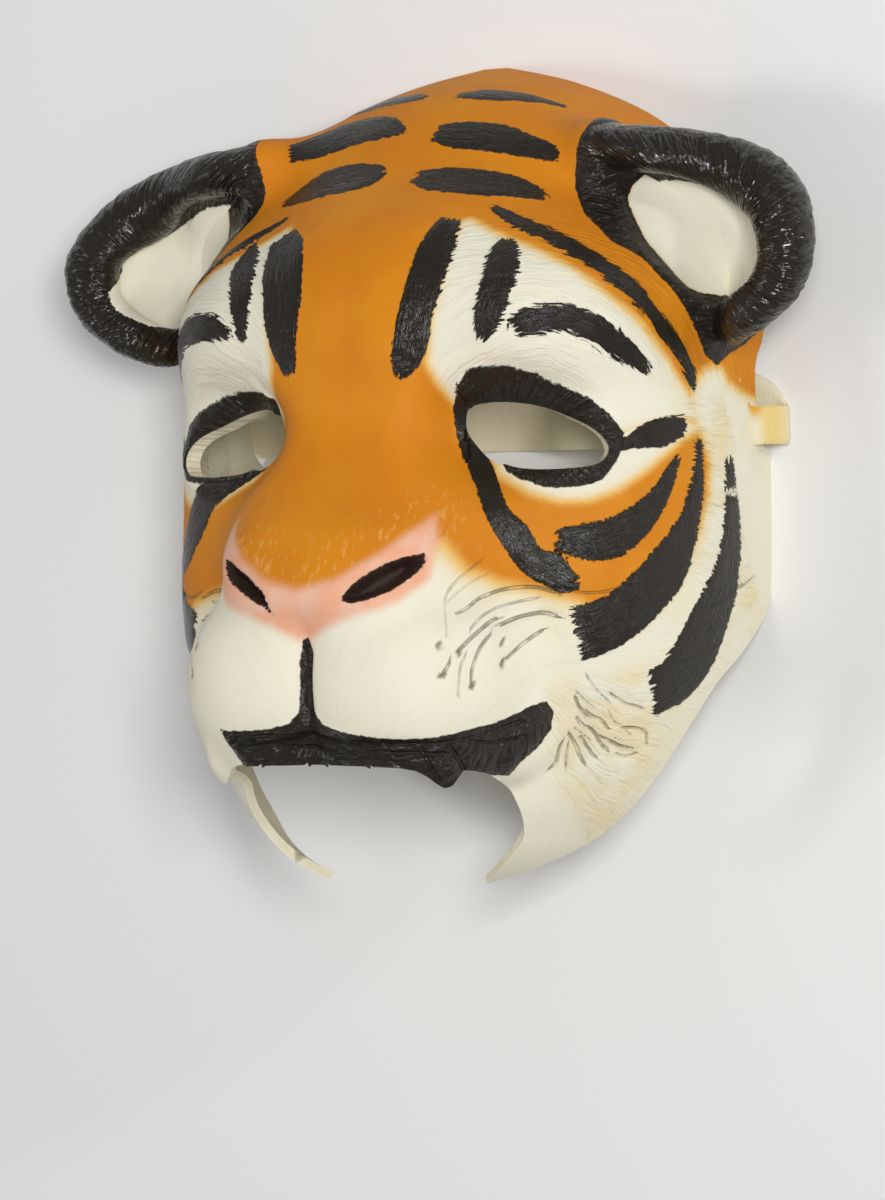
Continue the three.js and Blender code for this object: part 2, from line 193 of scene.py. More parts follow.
def form_point(ray, inside=False):
    """Where a ray from FOCUS leaves the mask's outer form."""
    low = np.full(ray.shape[:-1], 25.0)
    high = np.full(ray.shape[:-1], 190.0)
    for _ in range(24):
        middle = (low + high) / 2
        within = face_form(FOCUS + ray * middle[..., None], inside) < 0
        low = np.where(within, middle, low)
        high = np.where(within, high, middle)
    return FOCUS + ray * low[..., None]


def outward_normal(p, inside=False):
    """The way straight out of the form at a point."""
    slopes = []
    for axis in np.eye(3) * NORMAL_REACH:
        slopes.append(face_form(p + axis, inside) - face_form(p - axis, inside))
    normal = np.stack(slopes, -1)
    return normal / (np.linalg.norm(normal, axis=-1, keepdims=True) + 1e-9)


def lean_of(skin, ray, inside=False):
    """How squarely rays from FOCUS leave the form, from a half to 1."""
    return np.maximum((outward_normal(skin, inside) * ray).sum(1), 0.5)


def rim_tilt(turn):
    """How far off the Z axis the rim lies in each direction round the mask, in degrees."""
    low = np.full(turn.shape, 35.0)
    high = np.full(turn.shape, 125.0)
    for _ in range(22):
        middle = (low + high) / 2
        p = form_point(ray_of(np.stack([middle * np.cos(turn), middle * np.sin(turn)], -1)))
        above = p[..., 2] > along(RIM_HEIGHT, p[..., 1])
        low = np.where(above, middle, low)
        high = np.where(above, high, middle)
    return low


# Outlines on the chart, in degrees across and up from FOCUS, on the wearer's left.
EYE_HOLE = [
    (24, 8), (25, 12.7), (29, 14.2), (34, 14.6), (40, 13.6), (45, 11), (50, 6), (52, 1.5), (50, -1.8),
    (45, -3.2), (39, -3.7), (34, -3), (29.5, -0.5), (25.5, 4.2)]
LIP_EDGE = [
    (0, -39.5), (10, -38.8), (14, -39.8), (17, -42.8), (19.5, -41.5), (22, -44), (23.4, -49), (24, -53),
    (23.5, -56), (22.3, -58), (19.2, -60.3), (15.9, -63.2), (12, -67), (8, -76), (0, -80)]
LID_PAINT_LEFT = [
    (22.7, 15.4), (25.3, 18.2), (28.3, 18.6), (32.9, 18.4), (37.8, 17.4), (43.7, 15), (48.2, 12.6),
    (52.2, 8.7), (54.7, 4.8), (54.4, 1.8), (53.2, -1), (50.3, -4.9), (46.3, -6.1), (40.4, -6.2),
    (35.5, -4.8), (33.1, -3.3)]
LID_PAINT_RIGHT = [
    (22.7, 14.2), (24.4, 16.1), (28.8, 17), (34.1, 17.1), (40.1, 16), (44.9, 14), (49.5, 11.4),
    (53.2, 8.6), (54.6, 5.2), (54.5, 2), (52.6, -1.2), (49.8, -3.1), (45.5, -4.2), (39, -4.5), (34, -3.9),
    (30, -1.8)]
EAR_PAINT = [
    (37.4, 63.1), (36.6, 60.6), (37.3, 58.9), (39.5, 54.4), (41.9, 49.6), (47.4, 43.9), (53.5, 41.1),
    (57.2, 38), (61.2, 35.2), (65.7, 31.4), (68.9, 27.9), (72.2, 23.6), (76, 21.9), (78.5, 25), (83, 29),
    (90, 40), (85, 62), (60, 78), (42, 74)]
LIP_PAINT_LEFT = [
    (-1, -24.4), (0.4, -24.4), (0.7, -26.9), (0.8, -30.2), (1, -32.6), (2.6, -33.9), (6.7, -34.5),
    (12.6, -35.1), (18.5, -35.8), (22.4, -36.5), (25.9, -38.1), (28.8, -39.1), (32.4, -40), (33.1, -41.8),
    (31.9, -43.7), (29.9, -44.5), (26.9, -44.8), (24.4, -46.5), (22.2, -44.6), (20, -43.4), (17, -45),
    (-1, -45)]
LIP_PAINT_RIGHT = [
    (-1, -24.4), (0.5, -24.4), (0.9, -26.9), (0.8, -30.2), (1.1, -32.6), (2.6, -33.7), (6.1, -34),
    (11.6, -34), (13.2, -33.8), (12.2, -36.4), (11, -39.6), (10, -45), (-1, -45)]
NOSTRIL_LEFT = [
    (6.6, -18.8), (8.1, -17.2), (10, -16), (13, -14.7), (15.8, -14.2), (18.9, -14.3), (18.3, -16.1),
    (16.3, -17.3), (13.9, -18.4), (10.9, -19), (8.1, -19.3)]
NOSTRIL_RIGHT = [
    (17.6, -14.2), (13.7, -14.4), (9, -15.8), (5.8, -17.6), (3.9, -20.8), (6.2, -19.4), (10, -17.9),
    (15.1, -16.5)]
NOSE_PAD = [
    (0, -17.6), (6, -16.4), (12, -13.7), (17, -11), (19.8, -9.5), (20, -13.9), (18.6, -18), (14.1, -19.9),
    (9.1, -20.6), (4.7, -22), (0, -24.8)]

# Brush strokes on the chart: across, up and half width in millimetres along each one.
BOTH_SIDES = {
    "temple_stripe": [
        (24, 50.8, 1.1), (30.5, 46.3, 2.5), (37.5, 42.4, 2.7), (44.2, 38.2, 3), (50.1, 34.7, 2.8),
        (55.6, 30.9, 2.7), (61.4, 26.5, 2.4), (66.5, 21.7, 1.8), (69.1, 17.9, 1.9), (69.6, 14.9, 0.8)],
    "cheek_crescent": [
        (72.1, 3, 1.3), (71.7, -2.4, 2), (70.5, -9, 2.8), (67.6, -15.3, 3.8), (64, -20.3, 5.3),
        (59.7, -24.3, 6.7), (54.9, -27.1, 6.6), (49.3, -29.9, 6.6), (44.6, -31.1, 6.8), (40.3, -31.6, 7)],
    "jaw_band_top": [(81.4, -2, 1.7), (81.5, -6, 2.4), (81.4, -10.2, 2.8)],
    "jaw_band": [
        (81.3, -12.2, 3.1), (81, -15, 3.8), (79.2, -22.7, 4.8), (74.7, -31.1, 6.3), (68.8, -36.5, 7.8),
        (62.5, -41.2, 8.8), (57.6, -43.9, 8.2), (53.5, -44.8, 7), (49.8, -44.8, 6.6)],
    "lid_dash": [
        (53.5, 2, 1.6), (55.9, 2.8, 1.7), (58.6, 3.8, 2.9), (62.5, 4.8, 3.8), (66.4, 6.2, 2.7),
        (68.1, 7.5, 1)],
}
LEFT_SIDE = {
    "nose_stripe": [
        (23.5, 8, 1.1), (25.1, 3.2, 2.2), (27.7, -2.2, 3.2), (29.2, -6.5, 3.2), (30.7, -11.1, 3.2),
        (33.1, -14.7, 4.1), (35.2, -19.1, 3.7), (38.4, -21.1, 4.3), (40.7, -23.2, 3.1), (42.5, -23.5, 1.1)],
    "cheek_wedge": [
        (66.5, -0.8, 0.9), (64.3, -4.4, 2), (61.3, -9, 2.8), (56.1, -13.6, 4.1), (51.1, -16.2, 4.9),
        (46.9, -16.8, 4.9), (42.9, -16.3, 3.7), (41.2, -16.1, 2)],
    "eye_corner": [
        (24.2, 16.2, 1.4), (23.4, 13.3, 1.9), (23.2, 9.2, 1.9), (24, 4.6, 1.9), (25.4, -0.5, 1.7)],
    "inner_bar": [
        (17.2, 46.5, 2.9), (16.3, 39.2, 4.6), (15.6, 32.3, 4.8), (14.6, 27, 4.6), (14, 22.2, 4.7),
        (12.9, 18.6, 3.3), (12, 16.5, 1.1)],
    "middle_bar": [
        (28.9, 41.7, 1.7), (29.1, 37.9, 4.1), (28.9, 32.2, 4.4), (28.4, 27.9, 4.2), (27.9, 25, 3.3),
        (27.1, 22.5, 1.6)],
    "brow_arc": [
        (33, 23.9, 2.6), (35.6, 24.9, 3.6), (40.2, 25.7, 3.3), (44.9, 24.8, 3.5), (49.4, 22.9, 3.5),
        (54.1, 20.7, 3), (57.6, 18.7, 1.4), (59.2, 17.7, 0.5)],
    "low_stripe": [
        (4.6, 60, 2.4), (10.4, 58.5, 5.2), (19.2, 57.3, 5.2), (25.5, 56.8, 4.3), (30, 55.5, 3),
        (33.2, 54, 1.3)],
    "high_stripe": [
        (4.4, 69.6, 3), (10.8, 68.9, 5), (18.8, 67.9, 5), (26.1, 65.4, 3.4), (30.6, 63.4, 2.5),
        (33.5, 61.5, 1.1)],
    "top_stripe": [(3.7, 79.2, 1.2), (9, 79.5, 3.2), (16.1, 79.3, 3.1), (22.8, 78.6, 1.9), (28.7, 77.2, 1)],
}
RIGHT_SIDE = {
    "nose_stripe": [
        (31.5, -2.2, 1.4), (36.2, -4, 2.6), (41.2, -6, 4), (44.8, -10, 5.6), (47.3, -14.5, 5.4),
        (50, -18.5, 4.2), (54.4, -21.8, 2)],
    "inner_bar": [
        (20.3, 44.5, 4), (16.9, 39.4, 6.6), (14.6, 32.5, 6.8), (14.2, 27.2, 5.9), (13.8, 23, 4.6),
        (12.9, 19.8, 3.2), (12.6, 17.6, 1.8)],
    "middle_bar": [
        (29.3, 44.3, 1), (27.9, 39.5, 4.2), (25.7, 34, 3.8), (24.5, 29.5, 3), (24.3, 25.5, 1.9),
        (24.3, 23.5, 0.6)],
    "brow_arc": [
        (27.2, 24.6, 1.2), (30.8, 25.8, 3.2), (36.5, 26, 4), (43, 25, 3.8), (49.4, 22.9, 3.5),
        (54.1, 20.7, 3), (59, 17.8, 0.8)],
    "low_stripe": [
        (4.9, 61.8, 1.4), (8.2, 60.6, 5), (14.1, 60.1, 6.2), (20.4, 59.2, 6.2), (26.7, 57.4, 3.8),
        (30.7, 56.1, 1.4)],
    "high_stripe": [
        (3.8, 70.3, 1.3), (10.1, 71.5, 4.5), (18.8, 71.2, 6.4), (26, 68.6, 5.6), (32, 65, 2.9)],
    "top_stripe": [(4.2, 79.3, 1), (7.6, 79.7, 2.8), (14, 80, 3.4), (21, 79.4, 3), (27, 78, 1)],
}

# Airbrushed cream on the chart: an outline and how soft its edge is, in degrees.
CREAM_AREAS = [
    ([(19.5, 45.8), (18.9, 37.1), (18.3, 29.9), (17.7, 23.1), (17.6, 18.8), (19.5, 15.5), (22, 12.8),
      (26, 8), (50, 3), (58, 6), (66, 8), (72.4, 7.9), (68.8, 13.6), (63, 20.3), (55.4, 26.4), (48.7, 30.2),
      (40.9, 35.3), (33.4, 39.6), (25.4, 43.9), (20.8, 46.7)], 2.2),
    ([(30, 2), (31.5, -3.4), (37.3, -6.9), (42.3, -8.6), (47.7, -8.6), (53.4, -6.6), (59.8, -2.6), (67, 3),
      (72, 6), (66, 9), (56, 6), (45, 2)], 2.6),
    ([(-6, -20.5), (0, -21.3), (4.7, -18.8), (9.1, -17.6), (14.1, -17), (18.2, -15.2), (20.6, -14),
      (23.9, -19.2), (29.3, -23.1), (35.9, -25.2), (41.4, -27), (44.6, -30.8), (49, -32.6), (56.4, -30),
      (64, -25), (70.2, -18.2), (74.4, -10.4), (75.6, -3), (73.6, 4), (69.5, 10), (70, 15.5), (73.5, 20.5),
      (77.5, 21), (80, 18), (85, 16.2), (92, 15), (130, 12), (130, -100), (-6, -100)], 3),
]

# Folds pressed into the muzzle and jaw: a line on the chart and how deep it is.
FOLDS = [
    ([(20.9, -24.8), (21, -23.8), (20.7, -22.3), (20.9, -21.1), (22.1, -20), (24.3, -19),
      (27, -17.9)], 0.5),
    ([(21, -21.8), (22.3, -21.3), (24.4, -20.8), (27.2, -20.4)], 0.4),
    ([(22.3, -23.2), (24.2, -23.3), (25.4, -23.1), (27.4, -23.3), (29, -23.4), (30.9, -23.6),
      (33.4, -23.8), (35.5, -24), (37.4, -24.5), (38.9, -25.1)], 0.8),
    ([(39.8, -24), (41, -24.6), (42.6, -25.2), (46, -25.6), (48.9, -25.5)], 0.6),
    ([(24, -25.4), (24.9, -25), (26.3, -25), (28, -25.3), (30.4, -25.7), (32.2, -25.8),
      (35.3, -25.7)], 0.55),
    ([(22.5, -26.8), (23.6, -26.3), (25.1, -26), (26.9, -26), (28.5, -26.4)], 0.95),
    ([(28.2, -27.1), (29, -27.3), (31, -27.6), (33.5, -27.8), (35.8, -27.9), (38, -28.7)], 1),
    ([(23.5, -31.2), (23.6, -30), (24.2, -28.9), (25.1, -27.8), (25.9, -27.4), (27, -27.1)], 0.85),
    ([(21.5, -31.9), (22, -29.7), (22.4, -28.5), (23.2, -27.5)], 0.55),
    ([(27.9, -31.3), (29.1, -31.2), (30.7, -31.1), (32.6, -30.9), (35.1, -30.4)], 0.8),
    ([(20, -28.6), (21, -27.8), (21.2, -27.4)], 0.8),
    ([(39.9, -37.9), (40.5, -39.8), (41.2, -41.2), (42.3, -43.1)], 0.55),
    ([(42.9, -41.8), (44.3, -43.8), (45.8, -45.1), (47.3, -46.4)], 0.65),
    ([(37.2, -41), (37.4, -42.4), (38.1, -43.9)], 0.9),
    ([(37.6, -40.1), (38.3, -41.2), (39.4, -43)], 0.5),
    ([(38.3, -43.4), (39.2, -44.6), (40.1, -45.4), (40.7, -47)], 0.85),
    ([(36.6, -43.9), (37.1, -45.2), (37.9, -45.9), (38.5, -47.2), (38.8, -48.8), (39.4, -50.3)], 1),
    ([(39.1, -48), (40.5, -49.5), (41.8, -51.1), (43, -52.2)], 1),
    ([(41.7, -44.3), (41.9, -46.3), (43, -47.9), (43.8, -49.9)], 0.5),
    ([(43.1, -48.1), (45.2, -49.3), (46.6, -51.2), (46.1, -53)], 0.75),
    ([(36.2, -46.8), (36.6, -48.5), (37.1, -50.4)], 0.9),
    ([(34.6, -45.5), (35, -47.3), (35.1, -49), (35.2, -50.6)], 1),
    ([(33.3, -46), (32.3, -47.1), (31.5, -48.7), (30, -49.4)], 0.8),
    ([(34.1, -46.6), (32.9, -48.8), (32.4, -50.1)], 0.6),
    ([(35.8, -45), (36.5, -46.3), (37.3, -47.6)], 0.55),
    ([(40.6, -51.7), (41.9, -53.1), (43.7, -53.5)], 0.6),
]
LIP_FOLDS = [
    ([(-11, -34.9), (-6, -34.8), (-2.5, -35.2), (1.7, -35.6), (6.5, -35.5), (13.3, -35.8),
      (18.2, -36.6), (22.9, -38), (28.1, -40.2)], 0.9),
    ([(-10.5, -36.2), (-5.4, -36), (-1.8, -37), (2.6, -37.5), (9.1, -36.7), (14.3, -37.1),
      (18.1, -37.8)], 0.9),
    ([(3, -38.4), (8, -37.8), (13, -38.4)], 0.6),
    ([(20.8, -37.4), (24, -40.2), (28, -42.3)], 0.8),
    ([(15.6, -36.9), (15.9, -39), (16.6, -41.5)], 1),
    ([(18.9, -37.2), (19.3, -39.2), (19.6, -41.6)], 1),
]
WHISKER_PITS = [(20, -25.5), (22.5, -26.9), (23.4, -31.3), (27.9, -31.3), (20, -28.7), (28.2, -28.9)]


def degree_size(p):
    """Millimetres to a degree of the chart at a point of the surface."""
    return np.linalg.norm(p - FOCUS, axis=-1) * math.pi / 180


def outline_gap(outline, chart):
    """How far a place on the chart is from an outline, below zero inside it, with the nearest point."""
    nearest = np.full(len(chart), 1e9)
    foot = np.zeros_like(chart)
    inside = np.zeros(len(chart), bool)
    x, y = chart[:, 0], chart[:, 1]
    for (ax, ay), (bx, by) in zip(outline, outline[1:] + outline[:1]):
        dx, dy = bx - ax, by - ay
        t = np.clip(((x - ax) * dx + (y - ay) * dy) / (dx * dx + dy * dy), 0, 1)
        fx, fy = ax + t * dx, ay + t * dy
        gap = np.hypot(x - fx, y - fy)
        closer = gap < nearest
        nearest = np.where(closer, gap, nearest)
        foot[closer, 0] = fx[closer]
        foot[closer, 1] = fy[closer]
        if dy:
            inside ^= ((ay > y) != (by > y)) & (x < dx * (y - ay) / dy + ax)
    return np.where(inside, -nearest, nearest), foot


def both_ways(outline):
    """A half outline made whole by its mirror image."""
    return outline + [(-x, y) for x, y in reversed(outline) if x > 0]


def smooth_line(rows, parts, closed=False):
    """Rows of numbers with smooth steps put in between them."""
    rows = np.array(rows, float)
    count = len(rows)
    fine = []
    for i in range(count if closed else count - 1):
        if closed:
            a, b, c, d = (rows[(i + k) % count] for k in (-1, 0, 1, 2))
        else:
            a, b, c, d = (rows[min(max(i + k, 0), count - 1)] for k in (-1, 0, 1, 2))
        for t in np.arange(parts) / parts:
            fine.append(hermite(b, c, (c - a) / 2, (d - b) / 2, t))
    if not closed:
        fine.append(rows[-1])
    return np.array(fine)


def along_line(p, line, width=None):
    """The distance of points from a line in space, less its half width, where on it they lie, how far
    to which side, and how far past its nearer end."""
    best = np.full(len(p), 1e9)
    run = np.zeros(len(p))
    side = np.zeros(len(p))
    start = 0.0
    for i in range(len(line) - 1):
        a, d = line[i], line[i + 1] - line[i]
        length = max(np.linalg.norm(d), 1e-6)
        t = np.clip(((p - a) @ d) / length**2, 0, 1)
        off = p - a - t[:, None] * d
        gap = np.linalg.norm(off, axis=1)
        hand = np.sign(off @ np.cross(a - FOCUS, d))
        value = gap if width is None else gap - (width[i] + (width[i + 1] - width[i]) * t)
        closer = value < best
        best = np.where(closer, value, best)
        run = np.where(closer, start + t * length, run)
        side = np.where(closer, gap * hand, side)
        start += length
    before = -((p - line[0]) @ unit(line[1] - line[0]))
    after = (p - line[-1]) @ unit(line[-1] - line[-2])
    past_first = np.where(run > 0, -run, before)
    past_last = np.where(run < start, run - start, after)
    past = np.where(run < start / 2, past_first, past_last)
    return best, run, side, past


def unit(vector):
    return vector / max(np.linalg.norm(vector), 1e-9)


def line_in_space(chart_line):
    return form_point(ray_of(np.array(chart_line, float)[:, :2]))


def eye_outline():
    return [tuple(row) for row in smooth_line(EYE_HOLE, 6, closed=True)]


# Reliefs: heights, depths and widths in millimetres.
LID_HEIGHT, LID_EDGE = 2.0, 0.9
STROKE_HEIGHT = 0.3
EAR_PRESS = 5
NOSTRIL_DEPTH = 4.6
FOLD_DEPTH, FOLD_WIDTH, LIP_FOLD_WIDTH = 0.95, 1.3, 1.5
PIT_DEPTH, PIT_SIZE = 0.7, 1.1
FUR_DEPTH = 0.2
# How furry the smooth parts of the face still are.
FUR_LEAST = 0.12
# Two folds nearer than this share no layer, because each point keeps one side of one line.
FOLDS_APART = 4.5
# Faces across and along the shell, which are smaller at the front of the face than at the rim.
COLUMNS, ROWS = 202, 220
FRONT_SHARE = 0.78
# How near a point of the sheet is pulled to a cut, as a share of the mesh's spacing.
SNAP = 0.52
# Where the wall is thicker, behind the nostrils and at the fold of the cheek: middle, reach and how much.
POOLS = [((20, -23, 108), 24, 6), ((43, -36, 81), 22, 2.5)]

# The ear: x, y, z and radius of the rolled rim, once round the left ear, and the floor of its bowl.
EAR_ROLL = [
    (44, 85, 29.5, 5), (51.5, 86, 35.8, 7.6), (60, 86.4, 40.3, 8.7), (68, 86, 40.8, 8.2),
    (75.5, 84.5, 37.8, 7.8), (83, 82, 33.8, 8), (92, 78, 33.3, 8.5), (100, 72, 36.8, 8.5),
    (104.5, 65, 41.3, 8), (104.9, 58, 41.8, 7.5), (103, 52, 41.8, 7), (97.5, 46.5, 40.8, 6.5),
    (90.5, 42.5, 39.8, 6), (84.5, 40.5, 33.5, 5.2), (77, 44, 24.5, 4), (68.5, 55, 23.8, 4),
    (62.5, 68, 24.8, 4), (52, 79, 27, 5)]
EAR_BOWL = (84, 62, 24.8)
EAR_WALL = 3
# How deep its hidden root goes into the wall of the shell.
ROOT_DEPTH = 0.55
# Its faces round and across, and the millimetres that they stand for in its paint.
EAR_AROUND, EAR_ACROSS = 300, 96
EAR_LENGTH, EAR_GIRTH = 330, 95
# A ball that holds the whole ear.
EAR_MIDDLE, EAR_SIZE = (80, 65, 35), 52
# The hollow of the ear on the side of the head: the middle, long way and half sizes on the chart.
EAR_DISH = ((63, 46), (0.83, -0.56), (19.5, 9.5))
# The cream paint of the hollow: how low it reaches, where it starts on the right, and its outline.
BOWL_FOOT = 24
RIGHT_BOWL_FROM = 54.7
DISH_EDGE = [
    (48.6, 55), (48.7, 57.5), (50.2, 59.4), (54, 62), (64, 60), (76, 52), (80, 44), (76, 37),
    (69.2, 36.6), (67.2, 36.2), (64.5, 36.6), (62.3, 37.9), (58.5, 41.9), (54.5, 46.1), (51, 51.2)]
# How far the cream paint runs up the inside of the ear: round the ear and across its skin.
CREAM_REACH = [
    (0, 0.12), (0.06, 0.15), (0.1, 0.22), (0.23, 0.2), (0.34, 0.26), (0.38, 0.33), (0.47, 0.27),
    (0.54, 0.37), (0.6, 0.39), (0.64, 0.38), (0.69, 0.37), (0.73, 0.3), (0.79, 0.24), (0.84, 0.12),
    (1, 0.12)]
FILLET = 7
# The rolled rim: its turn round its own middle, and its share of the way across the ear's skin.
ROLL_START, ROLL_END = math.radians(205), math.radians(-115)
ROLL_FROM, ROLL_TO = 0.3, 0.74

# The band seen from the forehead end: the middle of its thickness, from the temple round under the rim.
BAND_LINE = [
    (77.7, 17), (78.2, 12), (80.5, 8.5), (84, 6.8), (85.6, 4.2), (84, 1.8), (80, 1.1), (70, 1.3), (58, 7),
    (46, 15.5), (36, 18), (26, 15.5), (14, 6), (6, 1.8), (0, 1.2)]
BAND_FROM, BAND_TO, BAND_THICK = 9.5, 30.5, 2.2
# How much the band's upper edge comes in at its fold, and the length over which it does and ends.
BAND_TAPER, TAPER_FULL, TAPER_FROM, TAPER_TO = 11, 11, 34, 60


def ripple(a, b, seed=0.0):
    """A gentle irregular value between about -1 and 1 that repeats nowhere near."""
    return (np.sin(a + 1.3 * np.sin(b * 0.71 + seed) + seed)
            + 0.6 * np.sin(a * 1.73 - 0.9 * b + 2.1 * seed)
            + 0.4 * np.sin(a * 2.9 + 1.9 * b + 0.7 + seed)) / 2


def disc_chart(flat):
    """Where a flat square's points lie on the round chart of the face."""
    across = flat[:, 0] * np.sqrt(1 - flat[:, 1]**2 / 2)
    up = flat[:, 1] * np.sqrt(1 - flat[:, 0]**2 / 2)
    turn = np.arctan2(up, across)
    share = np.hypot(across, up)
    turns = np.linspace(-math.pi, math.pi, 901)
    reach = np.interp(turn, turns, rim_tilt(turns))
    tilt = reach * share * (FRONT_SHARE + (1 - FRONT_SHARE) * share**2)
    return np.stack([tilt * np.cos(turn), tilt * np.sin(turn)], -1)


def flat_coordinates(bm):
    """The places of a bmesh's points."""
    return np.array([v.co[:] for v in bm.verts])


def cut_out(bm, outline):
    """Cuts an opening in the flat chart sheet, with its edge right on the outline."""
    chart = flat_coordinates(bm)[:, :2]
    gap, foot = outline_gap(outline, chart)
    edge = []
    for vert, distance, place in zip(bm.verts, gap, foot):
        if abs(distance) < 2 and abs(distance) < SNAP * spacing_of(vert):
            vert.co.x, vert.co.y = place
            edge.append(vert)
    bmesh.ops.remove_doubles(bm, verts=edge, dist=0.08)
    bmesh.ops.connect_verts(bm, verts=[vert for vert in edge if vert.is_valid])
    bm.faces.ensure_lookup_table()
    middles = np.array([face.calc_center_median()[:2] for face in bm.faces])
    inside = outline_gap(outline, middles)[0] < 0
    bmesh.ops.delete(bm, geom=[f for f, cut in zip(bm.faces, inside) if cut], context="FACES")


def spacing_of(vert):
    """The mean length of the edges at a point."""
    return sum(edge.calc_length() for edge in vert.link_edges) / max(len(vert.link_edges), 1)


def mesh_piece(name, bm):
    """Turns a bmesh into a piece of the mask that rides with it."""
    mesh = bpy.data.meshes.new(name)
    bm.to_mesh(mesh)
    bm.free()
    piece = bpy.data.objects.new(name, mesh)
    bpy.context.scene.collection.objects.link(piece)
    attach(piece, "root")
    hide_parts("mask")
    return piece


def read_points(mesh):
    values = np.empty(len(mesh.vertices) * 3)
    mesh.vertices.foreach_get("co", values)
    return values.reshape(-1, 3)


def place_points(mesh, points):
    """Puts points given in the mask's own millimetres in their place in the frame."""
    placed = (points + np.array([0, Y_SHIFT, 0])) / 1000
    mesh.vertices.foreach_set("co", placed.ravel())
    mesh.update()


def write_value(mesh, name, values):
    layer = mesh.attributes.new(name, "FLOAT", "POINT")
    layer.data.foreach_set("value", np.asarray(values, np.float32))


def mirrored_chart(chart):
    return np.stack([np.abs(chart[:, 0]), chart[:, 1]], -1)


def lid_relief(half):
    """The rounded lids, which rise between the eye hole and the edge of their paint."""
    hole = outline_gap(eye_outline(), half)[0]
    rim = outline_gap(LID_PAINT_LEFT, half)[0]
    near = np.clip(hole, 0, None)
    out = near / np.maximum(near + np.maximum(-rim, 0), 0.2)
    painted = LID_HEIGHT * np.where(rim < 0, np.clip(1 - out**2, 0, 1)**0.7, 0)
    plain = LID_EDGE * (1 - step(near, 0, 3))
    return np.maximum(painted, plain)


def spread_out(lines):
    """Sorts lines into layers, so that no two of a layer come near each other."""
    layers = []
    for rows, strength in lines:
        line = line_in_space(smooth_line(rows, 4))
        for layer in layers:
            gaps = [np.linalg.norm(line[:, None] - other[None], axis=2).min() for other, _ in layer]
            if min(gaps) > FOLDS_APART:
                layer.append((line, strength))
                break
        else:
            layers.append([(line, strength)])
    return layers


def line_field(p, layer, width):
    """How strongly points lie on any line of a layer, from 0 to 1, and how far to which side."""
    field = np.zeros(len(p))
    side = np.full(len(p), 9.0)
    for line, strength in layer:
        gap, _, off, _ = along_line(p, line)
        value = strength * np.exp(-(gap / width)**2)
        side = np.where(value > field, off, side)
        field = np.maximum(field, value)
    return field, side


def brush_work(p, chart):
    """The distance to the painted strokes, with the place along and across the nearest one."""
    best, run, side, end = (np.full(len(p), value) for value in (1e9, 0.0, 0.0, -9.0))
    left = chart[:, 0] > -0.5
    jobs = []
    for rows in BOTH_SIDES.values():
        jobs += [(rows, 1), (rows, -1)]
    jobs += [(rows, 1) for rows in LEFT_SIDE.values()]
    jobs += [(rows, -1) for rows in RIGHT_SIDE.values()]
    for number, (rows, hand) in enumerate(jobs):
        rows = smooth_line(rows, 3) * np.array([hand, 1, 1])
        line = line_in_space(rows)
        chosen = np.where(left if hand > 0 else ~left)[0]
        close = chosen[np.linalg.norm(p[chosen] - line.mean(0), axis=1) < 90]
        gap, start, off, past = along_line(p[close], line, rows[:, 2])
        nearer = np.maximum(gap, past) < np.maximum(best[close], end[close])
        put = close[nearer]
        best[put] = gap[nearer]
        run[put] = start[nearer] + 37 * number
        side[put] = off[nearer] + 23 * number
        end[put] = past[nearer]
    return best, run, side, end


def area_paint(chart, half, scale):
    """The distance in millimetres to the black painted areas: lids, ear roots, lips and nostrils."""
    pairs = [
        (LID_PAINT_LEFT, LID_PAINT_RIGHT), (EAR_PAINT, EAR_PAINT), (LIP_PAINT_LEFT, LIP_PAINT_RIGHT),
        (NOSTRIL_LEFT, NOSTRIL_RIGHT)]
    gaps = []
    for on_left, on_right in pairs:
        gap = np.where(chart[:, 0] > 0, outline_gap(on_left, half)[0], outline_gap(on_right, half)[0])
        gaps.append(gap * scale)
    return gaps


def bowl_gap(chart, half, skin, scale):
    """The distance to the cream bowl that the ear has on the side of the head."""
    gap = outline_gap(DISH_EDGE, half)[0] * scale
    gap = np.where(chart[:, 0] < 0, np.maximum(gap, (RIGHT_BOWL_FROM - half[:, 0]) * scale), gap)
    return np.maximum(gap, BOWL_FOOT - skin[:, 2])


def cream_share(half):
    """How much cream lies over the orange, from 0 to 1."""
    share = np.zeros(len(half))
    for outline, soft in CREAM_AREAS:
        gap = outline_gap(outline, half)[0]
        share = np.maximum(share, 1 - step(gap, -soft, soft))
    return share


def ear_press(p):
    """How far the side of the head sinks into the bowl of the ear."""
    (u, v), (along_u, along_v), (long, short) = EAR_DISH
    chart = chart_of(p)
    x, y = np.abs(chart[:, 0]) - u, chart[:, 1] - v
    away = ((x * along_u + y * along_v) / long)**2 + ((x * along_v - y * along_u) / short)**2
    return EAR_PRESS * np.clip(1 - away, 0, 1)**1.5


def fillet(gap):
    """How far a skin swells where another one crosses it, so that the corner is rounded."""
    return np.clip(FILLET - np.abs(gap), 0, FILLET)**2 / (4 * FILLET)


def ear_gap(p):
    """The distance from points to the skin of the ear on the wearer's left, below zero inside it."""
    around, across = np.meshgrid(np.arange(0, 1, 1 / 200), np.linspace(0.004, 0.75, 66))
    around, across = around.ravel(), across.ravel()
    skin, normal = ear_skin(around, across)
    gap = np.full(len(p), 99.0)
    for i in np.where(np.linalg.norm(p - EAR_MIDDLE, axis=1) < EAR_SIZE)[0]:
        off = p[i] - skin
        k = (off**2).sum(1).argmin()
        gap[i] = off[k] @ normal[k]
    return gap


